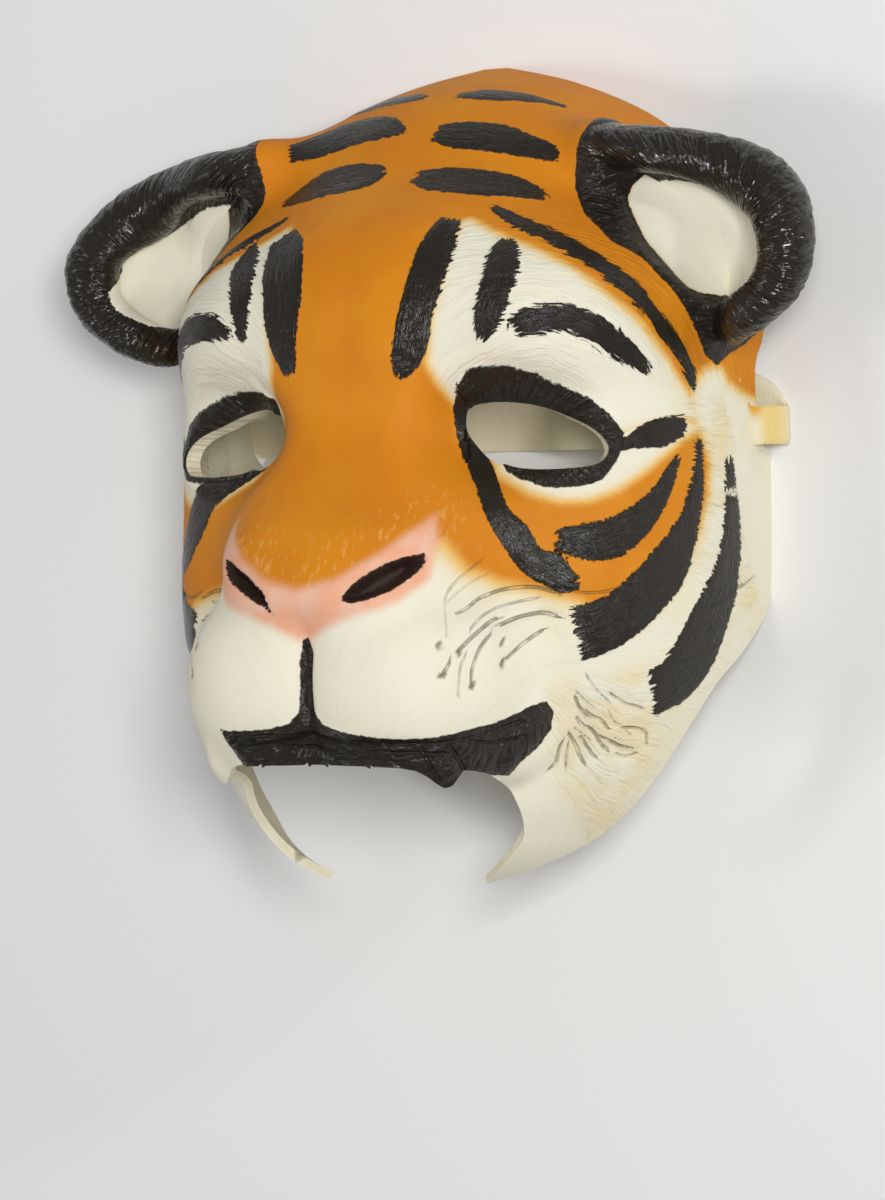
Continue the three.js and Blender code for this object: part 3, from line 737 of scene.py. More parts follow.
def shell_sheet():
    """The face as a flat sheet on the chart, with its openings cut, and which points are its lining."""
    bm = bmesh.new()
    bmesh.ops.create_grid(bm, x_segments=COLUMNS, y_segments=ROWS, size=1)
    for vert, place in zip(bm.verts, disc_chart(flat_coordinates(bm)[:, :2])):
        vert.co = (place[0], place[1], 0)
    hole = eye_outline()
    mouth = both_ways([tuple(row) for row in smooth_line(LIP_EDGE, 3)])
    for opening in (hole, [(-x, y) for x, y in reversed(hole)], mouth):
        cut_out(bm, opening)
    bmesh.ops.solidify(bm, geom=bm.faces[:] + bm.edges[:] + bm.verts[:], thickness=1)
    bmesh.ops.recalc_face_normals(bm, faces=bm.faces)
    heights = flat_coordinates(bm)[:, 2]
    return bm, heights < (heights.min() + heights.max()) / 2


def pressed_folds(skin, mirror):
    """The folds of the cheeks and of the lip, in layers of lines that lie well apart."""
    folds = [line_field(skin * mirror, layer, FOLD_WIDTH) for layer in spread_out(FOLDS)]
    return folds + [line_field(skin, layer, LIP_FOLD_WIDTH) for layer in spread_out(LIP_FOLDS)]


def pressed_pits(skin):
    """The small pits of the whiskers, from 0 to 1."""
    pits = np.zeros(len(skin))
    for x, y in WHISKER_PITS:
        for hand in (1, -1):
            pit = form_point(ray_of(np.array([x * hand, y], float)))
            pits = np.maximum(pits, np.exp(-(np.linalg.norm(skin - pit, axis=1) / PIT_SIZE)**2))
    return pits


def outer_skin(skin, ray, height, mirror, lining):
    """The skin of the face with its relief, sunk under the ear and rounded where the ear leaves it."""
    normal = outward_normal(skin)
    outer = skin + normal * height[:, None] - ray * (ear_press(skin) / lean_of(skin, ray))[:, None]
    gap = ear_gap(np.where(lining[:, None], 0, outer * mirror))
    outer = outer + normal * (fillet(gap) * step(gap, -4, 0))[:, None]
    outer[:, 2] = np.maximum(outer[:, 2], 0)
    return outer


def inner_skin(skin, ray):
    """The plain lining, a wall's thickness inside the face."""
    plain = form_point(ray, inside=True)
    thick = np.full(len(plain), WALL)
    for at, reach, extra in POOLS:
        away = np.linalg.norm(np.abs(plain) * [1, 0, 0] + plain * [0, 1, 1] - np.array(at), axis=1)
        thick += extra * (1 - step(away, reach * 0.4, reach))
    thick += ear_press(skin)
    inner = plain - ray * (thick / lean_of(plain, ray, inside=True))[:, None]
    inner[:, 2] = np.maximum(inner[:, 2], 0)
    return inner


def make_shell():
    """The shell of the face, and how many layers of folds it carries."""
    bm, lining = shell_sheet()
    shell = mesh_piece("mask_shell", bm)
    mesh = shell.data
    chart = read_points(mesh)[:, :2]
    half = mirrored_chart(chart)
    mirror = np.where(chart[:, :1] < 0, [-1, 1, 1], 1)
    ray = ray_of(chart)
    skin = form_point(ray)
    skin[:, 2] = np.maximum(skin[:, 2], 0)
    scale = degree_size(skin)

    stroke, run, side, end = brush_work(skin, chart)
    laid = np.maximum(stroke, end)
    lid, ear, lip, nostril = area_paint(chart, half, scale)
    bowl = bowl_gap(chart, half, skin, scale)
    ear = np.maximum(ear, -bowl)
    folds = pressed_folds(skin, mirror)
    creased = np.maximum.reduce([field for field, _ in folds])
    pits = pressed_pits(skin)
    out, run_round = fur_place(half, skin)
    pad = outline_gap(both_ways(NOSE_PAD), chart)[0]
    cream = cream_share(half)
    muzzle_top = step(chart[:, 1], -23, -18)

    height = lid_relief(half) + STROKE_HEIGHT * (1 - step(laid, -0.9, 0.1))
    height = height + STROKE_HEIGHT * (1 - step(ear, -1.2, 0.2)) + lip_relief(half, lip)
    height = height - NOSTRIL_DEPTH * (1 - step(nostril, -1.9, -0.1))
    height = height - FOLD_DEPTH * creased**1.5 - PIT_DEPTH * pits + fur_relief(half, out, run_round, laid)
    outer = outer_skin(skin, ray, height, mirror, lining)
    place_points(mesh, np.where(lining[:, None], inner_skin(skin, ray), outer))

    values = {
        "stroke": np.clip(stroke, -6, 6), "stroke_end": np.clip(end, -6, 6),
        "stroke_run": run, "stroke_side": side,
        "painted": np.clip(np.minimum(lid, np.minimum(ear, lip)), -6, 6),
        "nostril": np.clip(nostril, -4, 4),
        "cream": np.maximum(cream, 1 - step(bowl, -1, 1)),
        "pink": 1 - step(pad, -0.6, 1.1),
        # Where light flecks are painted on the orange round the nose pad as highlights.
        "glint_share": (1 - step(pad, 1, 9)) * muzzle_top * (1 - step(cream, 0.2, 0.8)),
        "pit": pits, "bare": lining.astype(float),
        "fur": fur_share(half), "fur_out": out, "fur_round": run_round, "fur_turn": fur_turn(half),
    }
    for number, (field, off) in enumerate(folds):
        values["fold_%d" % number] = field
        values["fold_side_%d" % number] = np.clip(off, -4, 4)
    for name, value in values.items():
        write_value(mesh, name, value)
    return shell, len(folds)


def lip_relief(half, lip):
    """The rolled black lip, with its lobe over the mouth and the groove up to the nose."""
    x, y = half[:, 0], half[:, 1]
    band = 1 - step(lip, -2.2, 0.2)
    lobe = np.exp(-(((x - 17.5) / 1.9)**2 + ((y + 40) / 3)**2))
    end = np.exp(-(((x - 28.5) / 4.5)**2 + ((y + 41.5) / 1.9)**2))
    groove = np.exp(-(x / 0.9)**2) * step(y, -34.5, -33) * (1 - step(y, -26.5, -24.5))
    return 0.9 * band + 2.4 * lobe + 1.2 * end - 1.6 * groove


def fur_share(half):
    """How furry the surface is, from 0 where it is smooth to 1."""
    x, y = half[:, 0], half[:, 1]
    brow = step(x, 16, 21) * step(y, 12, 17) * (1 - step(y, 44, 50))
    ridge = x - 84 + 0.38 * np.clip(y - 3, 0, 20)
    temple = step(x, 62, 70) * (1 - step(ridge, -1.5, 0.5)) * step(y, -45, -40) * (1 - step(y, 20, 24))
    smooth = step(outline_gap(DISH_EDGE, half)[0], 0.5, 4)
    cheek = step(x, 30, 40) * (1 - step(y, -8, -2)) * (1 - step(x, 82, 86)) * step(np.abs(y + 35.5), 0, 3)
    jaw = step(x, 28, 34) * (1 - step(y, -41, -36)) * (1 - step(np.hypot(x, y), 70, 78))
    low = np.full(len(x), FUR_LEAST)
    return np.maximum.reduce([low, brow, temple, 0.35 * cheek, 0.9 * jaw]) * smooth


def fur_place(half, skin):
    """Where the fur lies: how far out from the eye in millimetres, and how far round it. On the jaw it
    fans out from the corner of the lip."""
    jaw = half[:, 1] < -35.5
    middle = np.where(jaw[:, None], [27, -31], [38, 6])
    away = half - middle
    out = np.linalg.norm(away, axis=1) * degree_size(skin)
    return out, np.arctan2(away[:, 1], away[:, 0]) * np.where(jaw, 38, 60)


def fur_turn(half):
    """0 where the fur lies round the eye, 1 where it runs out from it."""
    x, y = half[:, 0], half[:, 1]
    below = 1 - step(y, -8, 6)
    outside = step(x, 58, 66) * (1 - step(y, 12, 20))
    return np.maximum(below, outside)


def fur_relief(half, out, run, laid):
    """Low wavy ridges of the cast fur, round the eye or out from it."""
    turn = fur_turn(half)
    sway = 2.5 * np.sin(run * 0.13 + 0.4) + 1.4 * np.sin(run * 0.31 + out * 0.11)
    round_eye = ripple(out * 1.25 + sway, run * 0.22, 0.4)
    sway = 2.2 * np.sin(out * 0.17 + 1.1) + 1.3 * np.sin(out * 0.37 + run * 0.09)
    outward = ripple(run * 1.15 + sway, out * 0.2, 1.9)
    share = np.maximum(fur_share(half) - FUR_LEAST, 0)
    return FUR_DEPTH * share * ((1 - turn) * round_eye + turn * outward) * step(laid, -0.5, 0.6)


def ear_points(around, across):
    """The bare ear: its bowl, its rolled rim and its back, once round and from the bowl's middle out."""
    roll_rows = np.array(EAR_ROLL, float)
    count = len(roll_rows)
    place = (around % 1) * count
    i = np.floor(place).astype(int) % count
    a, b, c, d = (roll_rows[(i + k) % count] for k in (-1, 0, 1, 2))
    row = hermite(b, c, (c - a) / 2, (d - b) / 2, (place - np.floor(place))[:, None])
    outward = row[:, :2] - np.array(EAR_BOWL[:2])
    reach = np.linalg.norm(outward, axis=1)
    outward = outward / reach[:, None]
    height, radius = row[:, 2] - EAR_BOWL[2], row[:, 3]

    def on_roll(angle):
        return reach + radius * np.cos(angle), height + radius * np.sin(angle)

    end_out, end_up = on_roll(ROLL_START)
    t = np.clip(across / ROLL_FROM, 0, 1)
    bowl_out = hermite(0, end_out, reach * 0.9, math.sin(ROLL_START) * 1.6 * radius, t)
    bowl_up = hermite(0, end_up, 0, -math.cos(ROLL_START) * 1.6 * radius, t)
    share = (across - ROLL_FROM) / (ROLL_TO - ROLL_FROM)
    roll_out, roll_up = on_roll(ROLL_START + (ROLL_END - ROLL_START) * share)
    back_out, back_up = on_roll(ROLL_END)
    t = np.clip((across - ROLL_TO) / (1 - ROLL_TO), 0, 1)
    rear_out = hermite(back_out, 0, math.sin(ROLL_END) * 1.2 * radius, -reach * 0.8, t)
    rear_up = hermite(back_up, -EAR_WALL, -math.cos(ROLL_END) * 1.2 * radius, 0, t)
    out = np.where(across < ROLL_FROM, bowl_out, np.where(across <= ROLL_TO, roll_out, rear_out))
    up = np.where(across < ROLL_FROM, bowl_up, np.where(across <= ROLL_TO, roll_up, rear_up))
    x, y = EAR_BOWL[0] + outward[:, 0] * out, EAR_BOWL[1] + outward[:, 1] * out
    return np.stack([x, y, EAR_BOWL[2] + up], -1)


def ear_wrinkles(around, across):
    """Small uneven creases across the rolled rim, deepest where it bends."""
    run = around * EAR_LENGTH
    on_roll = step(across, 0.34, 0.44) * (1 - step(across, 0.72, 0.85)) * step(around, 0.02, 0.08)
    deep = 0.35 + 0.65 * step(around, 0.22, 0.34) * (1 - step(around, 0.6, 0.72))
    lean = run + 60 * (across - 0.5)
    bend = lean + 5 * np.sin(across * 9 + 0.11 * run) + 2.5 * np.sin(across * 23 + 0.29 * run)
    crease = ripple(bend * 1.05, across * 14, 0.9) * (0.55 + 0.45 * np.sin(run * 0.27 + across * 13))
    dents = ripple(run * 0.33, across * 21, 2.3)
    return on_roll * deep * (0.34 * crease + 0.22 * dents - 0.35)


def ear_skin(around, across):
    """Points of the ear's skin and the way out of it."""
    p = ear_points(around, across)
    ahead = ear_points(around + 0.002, across) - p
    over = ear_points(around, np.clip(across + 0.004, 0, 1))
    over = over - ear_points(around, np.clip(across - 0.004, 0, 1))
    normal = np.cross(ahead, over)
    normal = normal / (np.linalg.norm(normal, axis=1, keepdims=True) + 1e-9)
    return p, normal if normal[across < 0.1, 2].sum() > 0 else -normal


def make_ear(name, hand):
    bm = bmesh.new()
    bmesh.ops.create_uvsphere(bm, u_segments=EAR_AROUND, v_segments=EAR_ACROSS, radius=1)
    co = flat_coordinates(bm)
    around = -np.arctan2(co[:, 1], co[:, 0]) / (2 * math.pi) % 1
    across = np.arccos(np.clip(co[:, 2], -1, 1)) / math.pi
    p, normal = ear_skin(around, across)
    gap = head_gap(p)
    swell = fillet(gap) * step(gap, -4, 0) * (1 - step(across, 0.8, 0.95))
    p = p + normal * (ear_wrinkles(around, across) * step(gap, 0, 4) + swell)[:, None]
    p = keep_in_wall(p)
    if hand < 0:
        bmesh.ops.reverse_faces(bm, faces=bm.faces)
    ear = mesh_piece(name, bm)
    mesh = ear.data
    place_points(mesh, p * [hand, 1, 1])
    limit = np.interp(around, *np.array(CREAM_REACH).T)
    write_value(mesh, "ink", np.clip((limit - across) * 60, -6, 6))
    write_value(mesh, "rim_run", around * EAR_LENGTH)
    write_value(mesh, "rim_across", across * EAR_GIRTH)
    return ear


def rays_to(p):
    """How far points are from FOCUS, and the direction to them."""
    away = np.linalg.norm(p - FOCUS, axis=1)
    return away, (p - FOCUS) / away[:, None]


def head_gap(p):
    """How far points are outside the skin of the head."""
    away, ray = rays_to(p)
    skin = form_point(ray)
    lean = lean_of(skin, ray)
    return (away - (np.linalg.norm(skin - FOCUS, axis=1) - ear_press(skin) / lean)) * lean


def keep_in_wall(p):
    """Pulls the hidden root of an ear back into the thickness of the shell."""
    away, ray = rays_to(p)
    skin = form_point(ray, inside=True)
    deep = (ROOT_DEPTH * WALL + ear_press(skin)) / lean_of(skin, ray, inside=True)
    middle = skin - ray * deep[:, None]
    return np.where((away < np.linalg.norm(middle - FOCUS, axis=1))[:, None], middle, p)


def make_band():
    """The flat band, from one temple round under the rim and back to the other temple."""
    line = smooth_line(BAND_LINE, 9)
    line = np.concatenate([line, line[-2::-1] * [-1, 1]])
    length = np.concatenate([[0], np.cumsum(np.linalg.norm(np.diff(line, axis=0), axis=1))])
    slope = np.gradient(line, axis=0)
    slope = slope / np.linalg.norm(slope, axis=1, keepdims=True)
    lift = np.stack([-slope[:, 1], slope[:, 0]], -1)
    bm = bmesh.new()
    bmesh.ops.create_grid(bm, x_segments=len(line) - 1, y_segments=16, size=1)
    bmesh.ops.solidify(bm, geom=bm.faces[:] + bm.edges[:] + bm.verts[:], thickness=1)
    co = flat_coordinates(bm)
    top = np.where(co[:, 2] > co[:, 2].mean(), 1, -1)
    place = (co[:, 0] + 1) / 2 * length[-1]
    spread = np.linspace(0, length[-1], len(line))
    x, z, lx, lz = (np.interp(place, spread, values) for values in (*line.T, *lift.T))
    edge = np.abs(co[:, 1])
    thick = BAND_THICK / 2 * (1 - 0.4 * edge**8) * top
    y = (BAND_FROM + BAND_TO) / 2 + co[:, 1] * (BAND_TO - BAND_FROM) / 2
    run = np.minimum(place, length[-1] - place)
    taper = BAND_TAPER * step(run, 0, TAPER_FULL) * (1 - step(run, TAPER_FROM, TAPER_TO))
    y = y - taper * (co[:, 1] + 1) / 2
    p = np.stack([x + lx * thick, y, np.maximum(z + lz * thick, 0)], -1)
    for vert, point in zip(bm.verts, p):
        vert.co = point
    bmesh.ops.recalc_face_normals(bm, faces=bm.faces)
    band = mesh_piece("head_band", bm)
    place_points(band.data, p)
    write_value(band.data, "strap_run", run)
    write_value(band.data, "strap_side", co[:, 1])
    return band


# Colours.
ORANGE_DEEP = (0.66, 0.21, 0.003, 1)
ORANGE = (0.72, 0.255, 0.003, 1)
YELLOW = (0.82, 0.50, 0.13, 1)
CREAM = (0.84, 0.76, 0.55, 1)
WHITE = (0.84, 0.81, 0.66, 1)
PINK = (0.86, 0.42, 0.26, 1)
ROSE = (0.84, 0.50, 0.36, 1)
BLACK = (0.020, 0.016, 0.011, 1)
BARE = (0.80, 0.74, 0.55, 1)
SUNNED = (0.84, 0.66, 0.30, 1)
# Painted shade for the grooves between the cast fur strands.
GROOVE_SHADE = (0.50, 0.38, 0.14, 1)
# Painted highlight: the colour of light flecks on the orange round the nose pad.
GLINT_COLOUR = (0.86, 0.52, 0.18, 1)
# Painted shade for the bottoms of the folds and the whisker pits.
FOLD_SHADE = (0.24, 0.20, 0.10, 1)
NOSTRIL_DARK = (0.030, 0.014, 0.009, 1)
BAND_EDGE = (0.74, 0.38, 0.03, 1)
BAND_YELLOW = (0.80, 0.62, 0.24, 1)
FLOOR_PAPER = (0.88, 0.87, 0.85, 1)
SKY = (0.95, 0.97, 1, 1)
SKY_STRENGTH = 0.25
# Edges that turn more than this stay sharp.
SHARP = math.radians(50)


class Value:
    """The output of a node, so that a formula made of nodes reads like a plain one."""

    def __init__(self, tree, socket):
        self.tree = tree
        self.socket = socket

    def math(self, operation, first, second=0.0):
        made = node(self.tree, "Math", {"operation": operation}, _0=first, _1=second)
        return Value(self.tree, made.outputs[0])

    def __add__(self, other):
        return self.math("ADD", self, other)

    def __sub__(self, other):
        return self.math("SUBTRACT", self, other)

    def __rsub__(self, other):
        return self.math("SUBTRACT", other, self)

    def __mul__(self, other):
        return self.math("MULTIPLY", self, other)

    def __truediv__(self, other):
        return self.math("DIVIDE", self, other)

    def __abs__(self):
        return self.math("ABSOLUTE", self)

    def larger(self, other):
        return self.math("MAXIMUM", self, other)

    def fade(self, low, high):
        """0 below low, 1 above high, smooth between."""
        made = node(self.tree, "MapRange", {"interpolation_type": "SMOOTHSTEP"},
                    Value=self, From_Min=low, From_Max=high)
        return Value(self.tree, made.outputs["Result"])

    def mix(self, first, second):
        """A colour from the first, where this value is 0, to the second, where it is 1."""
        made = node(self.tree, "Mix", {"data_type": "RGBA"}, _0=self, _6=first, _7=second)
        return Value(self.tree, made.outputs[2])


def feed(socket, value):
    """Sets a socket to a number or colour, or links it to a value."""
    if isinstance(value, Value):
        value.tree.links.new(value.socket, socket)
    else:
        socket.default_value = value


def node(tree, kind, settings=None, **sockets):
    """Adds a node; its sockets are given by name, or by an underscore and their number."""
    made = tree.nodes.new("ShaderNode" + kind)
    for key, value in (settings or {}).items():
        setattr(made, key, value)
    for key, value in sockets.items():
        feed(made.inputs[int(key[1:])] if key[0] == "_" else made.inputs[key.replace("_", " ")], value)
    return made


def object_place(tree):
    return Value(tree, node(tree, "TexCoord").outputs["Object"])


def attribute(tree, name):
    return Value(tree, node(tree, "Attribute", {"attribute_name": name}).outputs["Fac"])


def vector(x, y):
    """Two values as the place where a noise is read."""
    return Value(x.tree, node(x.tree, "CombineXYZ", X=x, Y=y).outputs[0])


def noise(place, scale, detail=2.0, rough=0.5, bent=0.0):
    made = node(place.tree, "TexNoise", Vector=place, Scale=scale, Detail=detail, Roughness=rough,
                Distortion=bent)
    return Value(place.tree, made.outputs["Fac"])


def new_group(name, inputs, outputs):
    """A node group: its tree, its inputs as values by name, and its last node."""
    tree = bpy.data.node_groups.new(name, "ShaderNodeTree")
    for label, value in inputs.items():
        socket = tree.interface.new_socket(label, in_out="INPUT", socket_type="NodeSocketFloat")
        socket.default_value = value
    for label in outputs:
        tree.interface.new_socket(label, in_out="OUTPUT", socket_type="NodeSocketFloat")
    start = tree.nodes.new("NodeGroupInput")
    given = {label: Value(tree, start.outputs[label]) for label in inputs}
    return tree, given, tree.nodes.new("NodeGroupOutput")


def use_group(tree, group, **sockets):
    """Puts a node group in a material and gives its outputs by name."""
    made = tree.nodes.new("ShaderNodeGroup")
    made.node_tree = group
    for key, value in sockets.items():
        feed(made.inputs[key.replace("_", " ")], value)
    return {output.name: Value(tree, output) for output in made.outputs}


def brush_edge_group():
    """Paint laid with a brush: its cover from a distance in millimetres, with streaks along the stroke."""
    inputs = {"Distance": 0.0, "Past End": -9.0, "Along": 0.0, "Across": 0.0, "Ragged": 1.0, "Streak": 1.0}
    tree, given, finish = new_group("brush_edge", inputs, ["Cover", "Ridge"])
    place = object_place(tree)
    shift = (noise(place, 700, 4, 0.6) - 0.5) * given["Ragged"]
    across = given["Across"] + noise(place, 190, 2) * 3.2
    streak = noise(vector(given["Along"] * 0.16, across * 1.15), 1.0, 3, 0.6)
    drag = (streak - 0.5) * given["Streak"]
    side = given["Distance"] + drag * 0.5
    past = given["Past End"] + drag * 3.5
    cover = 1.0 - (side.larger(past) + shift).fade(-0.16, 0.16)
    feed(finish.inputs["Cover"], cover)
    feed(finish.inputs["Ridge"], cover * streak)
    return tree


def skin_grain_group():
    """The fine uneven surface of cast rubber, as a height and a rubbed, patchy tint from 0 to 1."""
    tree, _, finish = new_group("skin_grain", {}, ["Height", "Tint"])
    place = object_place(tree)
    feed(finish.inputs["Height"], noise(place, 1400, 3) + noise(place, 160, 3) * 1.5)
    feed(finish.inputs["Tint"], noise(place, 45, 4))
    return tree


def strands_group():
    """Strands of cast fur: a height that varies fast across them and slowly along them."""
    tree, given, finish = new_group("fur_strands", {"Across": 0.0}, ["Height"])
    place = object_place(tree)
    fast = given["Across"] * 0.85 + noise(place, 75, 2) * 7.0
    slow = node(tree, "VectorMath", {"operation": "SCALE"}, Vector=place, Scale=85.0).outputs[0]
    at = node(tree, "VectorMath", {"operation": "ADD"}, _0=Value(tree, slow), _1=vector(fast, fast))
    feed(finish.inputs["Height"], noise(Value(tree, at.outputs[0]), 1.0, 3, 0.55))
    return tree


def wrinkles_group():
    """The creased skin of thick glossy paint: a height of uneven folds and dents."""
    tree, given, finish = new_group("paint_wrinkles", {"Along": 0.0, "Across": 0.0}, ["Height"])
    dents = noise(object_place(tree), 330, 1.5, 0.45)
    slant = given["Across"] + given["Along"] * 0.45
    folds = noise(vector(slant * 0.36, given["Along"] * 0.12), 1.0, 1.5, 0.45, 0.7)
    feed(finish.inputs["Height"], folds * 2.2 + dents * 1.3)
    return tree


def crease_group():
    """The line of painted shade at the bottom of a fold, wider where the fold is deep."""
    tree, given, finish = new_group("fold_crease", {"Depth": 0.0, "Side": 0.0}, ["Crease"])
    across = abs(given["Side"]) / (given["Depth"] * 0.6 + 0.22)
    line = 1.0 - across.fade(0.1, 1.0)
    feed(finish.inputs["Crease"], line * given["Depth"].fade(0.15, 0.75))
    return tree


BRUSH_EDGE = brush_edge_group()
SKIN_GRAIN = skin_grain_group()
FUR_STRANDS = strands_group()
FOLD_CREASE = crease_group()
PAINT_WRINKLES = wrinkles_group()


def start_material(name, roughness, specular):
    """A new material with its node tree and its shader."""
    material = bpy.data.materials.new(name)
    material.use_nodes = True
    tree = material.node_tree
    shader = tree.nodes["Principled BSDF"]
    shader.inputs["Roughness"].default_value = roughness
    shader.inputs["Specular IOR Level"].default_value = specular
    return material, tree, shader


def lay_bump(tree, shader, height, strength, distance):
    bump = node(tree, "Bump", Strength=strength, Distance=distance, Height=height)
    tree.links.new(bump.outputs[0], shader.inputs["Normal"])


def fold_creases(tree, layers):
    """The lines of painted shade at the bottoms of the folds, over all their layers."""
    crease = None
    for number in range(layers):
        layer = use_group(tree, FOLD_CREASE, Depth=attribute(tree, "fold_%d" % number),
                          Side=attribute(tree, "fold_side_%d" % number))
        crease = crease.larger(layer["Crease"]) if crease else layer["Crease"]
    return crease


def shell_material(fold_layers):
    material, tree, shader = start_material("painted_face", 0.65, 0.3)
    place = object_place(tree)
    grain = use_group(tree, SKIN_GRAIN)
    fur, turn = attribute(tree, "fur"), attribute(tree, "fur_turn")
    out, run = attribute(tree, "fur_out"), attribute(tree, "fur_round")
    laid = use_group(tree, FUR_STRANDS, Across=out)["Height"]
    combed = use_group(tree, FUR_STRANDS, Across=run)["Height"]
    strand = combed * turn + laid * (1.0 - turn)
    bristle = (strand - 0.5) * fur
    cream = attribute(tree, "cream") + ((noise(place, 120, 3) - 0.5) * 0.16 + bristle * 0.45)
    base = grain["Tint"].fade(0.3, 0.7).mix(ORANGE_DEEP, ORANGE)
    base = cream.fade(0.02, 0.45).mix(base, YELLOW)
    base = cream.fade(0.3, 0.85).mix(base, CREAM)
    base = cream.fade(0.8, 1.05).mix(base, WHITE)
    # The grooves between the cast fur strands are darkened here as painted shade.
    groove = turn * fur * (1.0 - strand.fade(0.3, 0.46))
    base = (groove * 0.4).mix(base, GROOVE_SHADE)
    sunned = turn * fur * cream.fade(0.3, 0.8) * noise(place, 70, 2).fade(0.3, 0.62)
    base = (sunned * 0.55).mix(base, SUNNED)
    streaked = Value(tree, node(tree, "Mapping", Vector=place, Scale=(1.0, 0.22, 0.5)).outputs[0])
    # Painted highlight: streaked light flecks on the orange round the nose pad stand in for glints on the
    # glossy paint.
    glint_flecks = noise(streaked, 900, 3).fade(0.54, 0.7) * attribute(tree, "glint_share")
    base = (glint_flecks * 0.35).mix(base, GLINT_COLOUR)
    base = attribute(tree, "pink").mix(base, noise(place, 130, 3).fade(0.4, 0.65).mix(PINK, ROSE))

    crease = fold_creases(tree, fold_layers)
    broken = noise(place, 330, 3).fade(0.3, 0.6)
    # The bottoms of the folds and the whisker pits are darkened here as painted shade.
    fold_shade = (crease * (broken * 0.9)).larger(attribute(tree, "pit").fade(0.15, 0.6))
    base = (fold_shade * 0.82).mix(base, FOLD_SHADE)
    nostril = use_group(tree, BRUSH_EDGE, Distance=attribute(tree, "nostril"), Ragged=1.0, Streak=0.0)
    base = nostril["Cover"].mix(base, NOSTRIL_DARK)

    strokes = use_group(
        tree, BRUSH_EDGE, Distance=attribute(tree, "stroke") - bristle * 5.0,
        Past_End=attribute(tree, "stroke_end"), Along=attribute(tree, "stroke_run"),
        Across=attribute(tree, "stroke_side"), Ragged=1.5, Streak=2.2)
    areas = use_group(
        tree, BRUSH_EDGE, Distance=attribute(tree, "painted"), Across=out, Ragged=1.2, Streak=0.8)
    base = strokes["Cover"].larger(areas["Cover"]).mix(base, BLACK)
    bare = attribute(tree, "bare").fade(0.12, 0.2)
    feed(shader.inputs["Base Color"], bare.mix(base, BARE))
    shine = (strokes["Cover"] * 0.42).larger(areas["Cover"] * 0.5) * (1.0 - bare)
    feed(shader.inputs["Roughness"], 0.66 - shine)

    ridges = strokes["Ridge"].larger(areas["Ridge"])
    wrinkled = use_group(tree, PAINT_WRINKLES, Along=out, Across=run)["Height"] * areas["Cover"]
    height = grain["Height"] * 0.1 + ridges + wrinkled * 0.9 + strand * fur * 0.8 - crease * 0.9
    lay_bump(tree, shader, height, 1.0, 0.0006)
    return material


def ear_material():
    material, tree, shader = start_material("painted_ear", 0.65, 0.42)
    run, across = attribute(tree, "rim_run"), attribute(tree, "rim_across")
    cover = use_group(
        tree, BRUSH_EDGE, Distance=attribute(tree, "ink"), Along=across, Across=run, Ragged=2.0,
        Streak=2.0)["Cover"]
    feed(shader.inputs["Base Color"], cover.mix(WHITE, BLACK))
    feed(shader.inputs["Roughness"], 0.62 - cover * 0.46)
    wrinkled = use_group(tree, PAINT_WRINKLES, Along=across, Across=run)["Height"] * cover
    lay_bump(tree, shader, use_group(tree, SKIN_GRAIN)["Height"] * 0.1 + wrinkled, 1.0, 0.0006)
    return material


def band_material():
    material, tree, shader = start_material("painted_band", 0.65, 0.34)
    grain = use_group(tree, SKIN_GRAIN)
    run = attribute(tree, "strap_run")
    shaded = attribute(tree, "strap_side") + (grain["Tint"] - 0.5) * 0.8
    base = shaded.fade(0.1, 1.0).mix(CREAM, BAND_EDGE)
    base = run.fade(12, 20).mix(base, BAND_YELLOW)
    feed(shader.inputs["Base Color"], run.fade(24, 36).mix(base, CREAM))
    lay_bump(tree, shader, grain["Height"], 0.5, 0.0005)
    return material


def finish_piece(piece, material):
    piece.data.materials.append(material)
    piece.data.shade_smooth()
    piece.data.set_sharp_from_angle(angle=SHARP)


shell, fold_layers = make_shell()
finish_piece(shell, shell_material(fold_layers))
ears = ear_material()
finish_piece(make_ear("left_ear", 1), ears)
finish_piece(make_ear("right_ear", -1), ears)
finish_piece(make_band(), band_material())


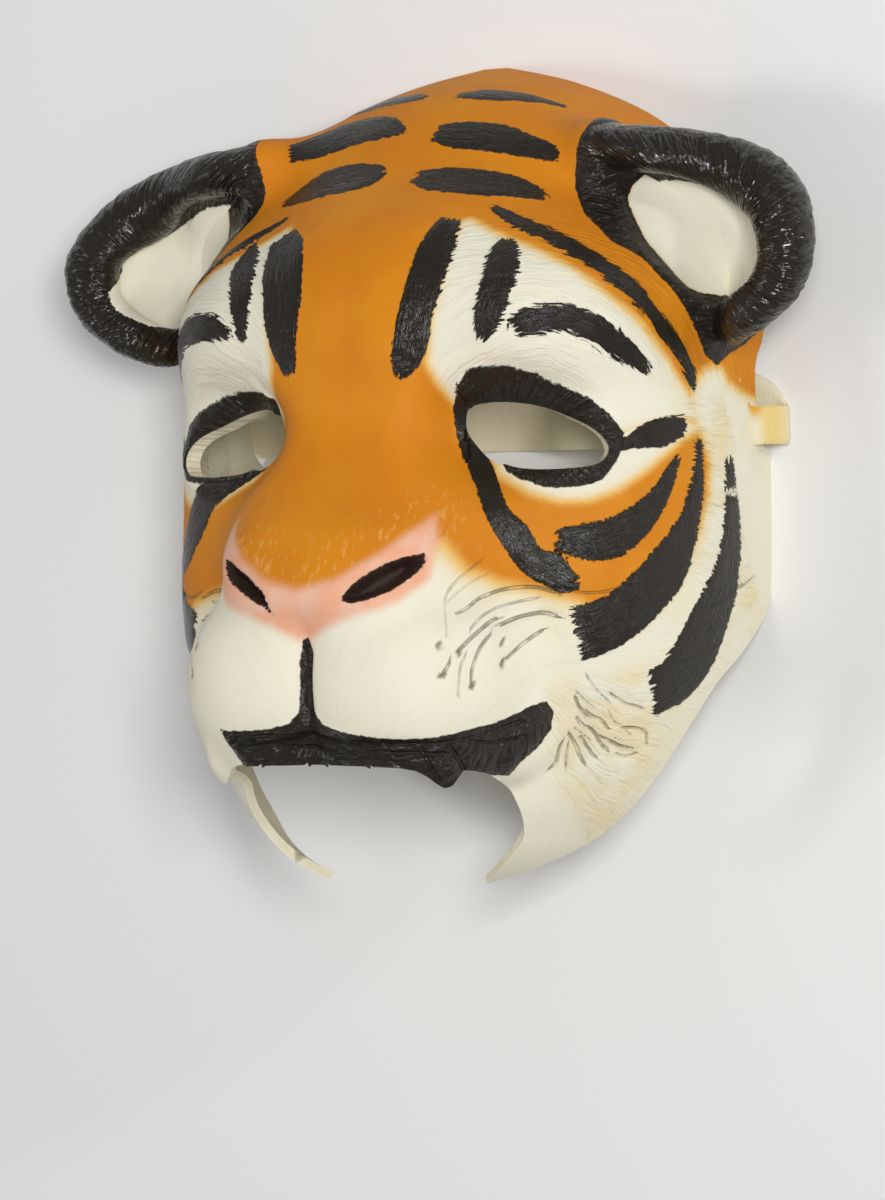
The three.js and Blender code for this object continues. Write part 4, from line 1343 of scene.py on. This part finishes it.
def make_floor():
    bm = bmesh.new()
    bmesh.ops.create_grid(bm, x_segments=1, y_segments=1, size=3)
    mesh = bpy.data.meshes.new("floor")
    bm.to_mesh(mesh)
    bm.free()
    floor = bpy.data.objects.new("floor", mesh)
    bpy.context.scene.collection.objects.link(floor)
    material, _, shader = start_material("floor_paper", 0.9, 0.2)
    shader.inputs["Base Color"].default_value = FLOOR_PAPER
    mesh.materials.append(material)


LIGHT_AIM = Vector((0, 0, 0.05))


def soft_light(name, place, size, power):
    """A rectangular lamp that shines on the mask."""
    lamp = bpy.data.lights.new(name, "AREA")
    lamp.shape = "RECTANGLE"
    lamp.size, lamp.size_y = size
    lamp.energy = power
    light = bpy.data.objects.new(name, lamp)
    light.location = place
    light.rotation_euler = (LIGHT_AIM - Vector(place)).to_track_quat("-Z", "Y").to_euler()
    bpy.context.scene.collection.objects.link(light)


CAMERA_PLACE = Vector((0.6437, 0.0094, 1.1761))
CAMERA_AIM = Vector((0.0039, -0.0350, 0.0450))
CAMERA_UP = Vector((0.0242, 0.9995, -0.0187))
CAMERA_LENS, SENSOR = 148.2, 36


def make_camera():
    """The photograph's view: from high on the wearer's left, level with the middle of the face."""
    data = bpy.data.cameras.new("view")
    data.lens, data.sensor_width, data.sensor_fit = CAMERA_LENS, SENSOR, "AUTO"
    camera = bpy.data.objects.new("view", data)
    back = (CAMERA_PLACE - CAMERA_AIM).normalized()
    right = CAMERA_UP.cross(back).normalized()
    turn = Matrix((right, back.cross(right), back)).transposed()
    camera.matrix_world = Matrix.Translation(CAMERA_PLACE) @ turn.to_4x4()
    bpy.context.scene.collection.objects.link(camera)
    bpy.context.scene.camera = camera
    bpy.context.scene.view_settings.view_transform = "Standard"


def make_world():
    world = bpy.data.worlds.new("studio")
    world.use_nodes = True
    back = world.node_tree.nodes["Background"]
    back.inputs["Color"].default_value = SKY
    back.inputs["Strength"].default_value = SKY_STRENGTH
    bpy.context.scene.world = world


make_floor()
make_camera()
make_world()
soft_light("key", (0.72, 0.12, 1.15), (0.28, 0.28), 10)
soft_light("side", (1.25, 0.5, 0.45), (0.1, 0.14), 2.6)
soft_light("front", (-0.75, -0.15, 1.05), (0.24, 0.24), 3)
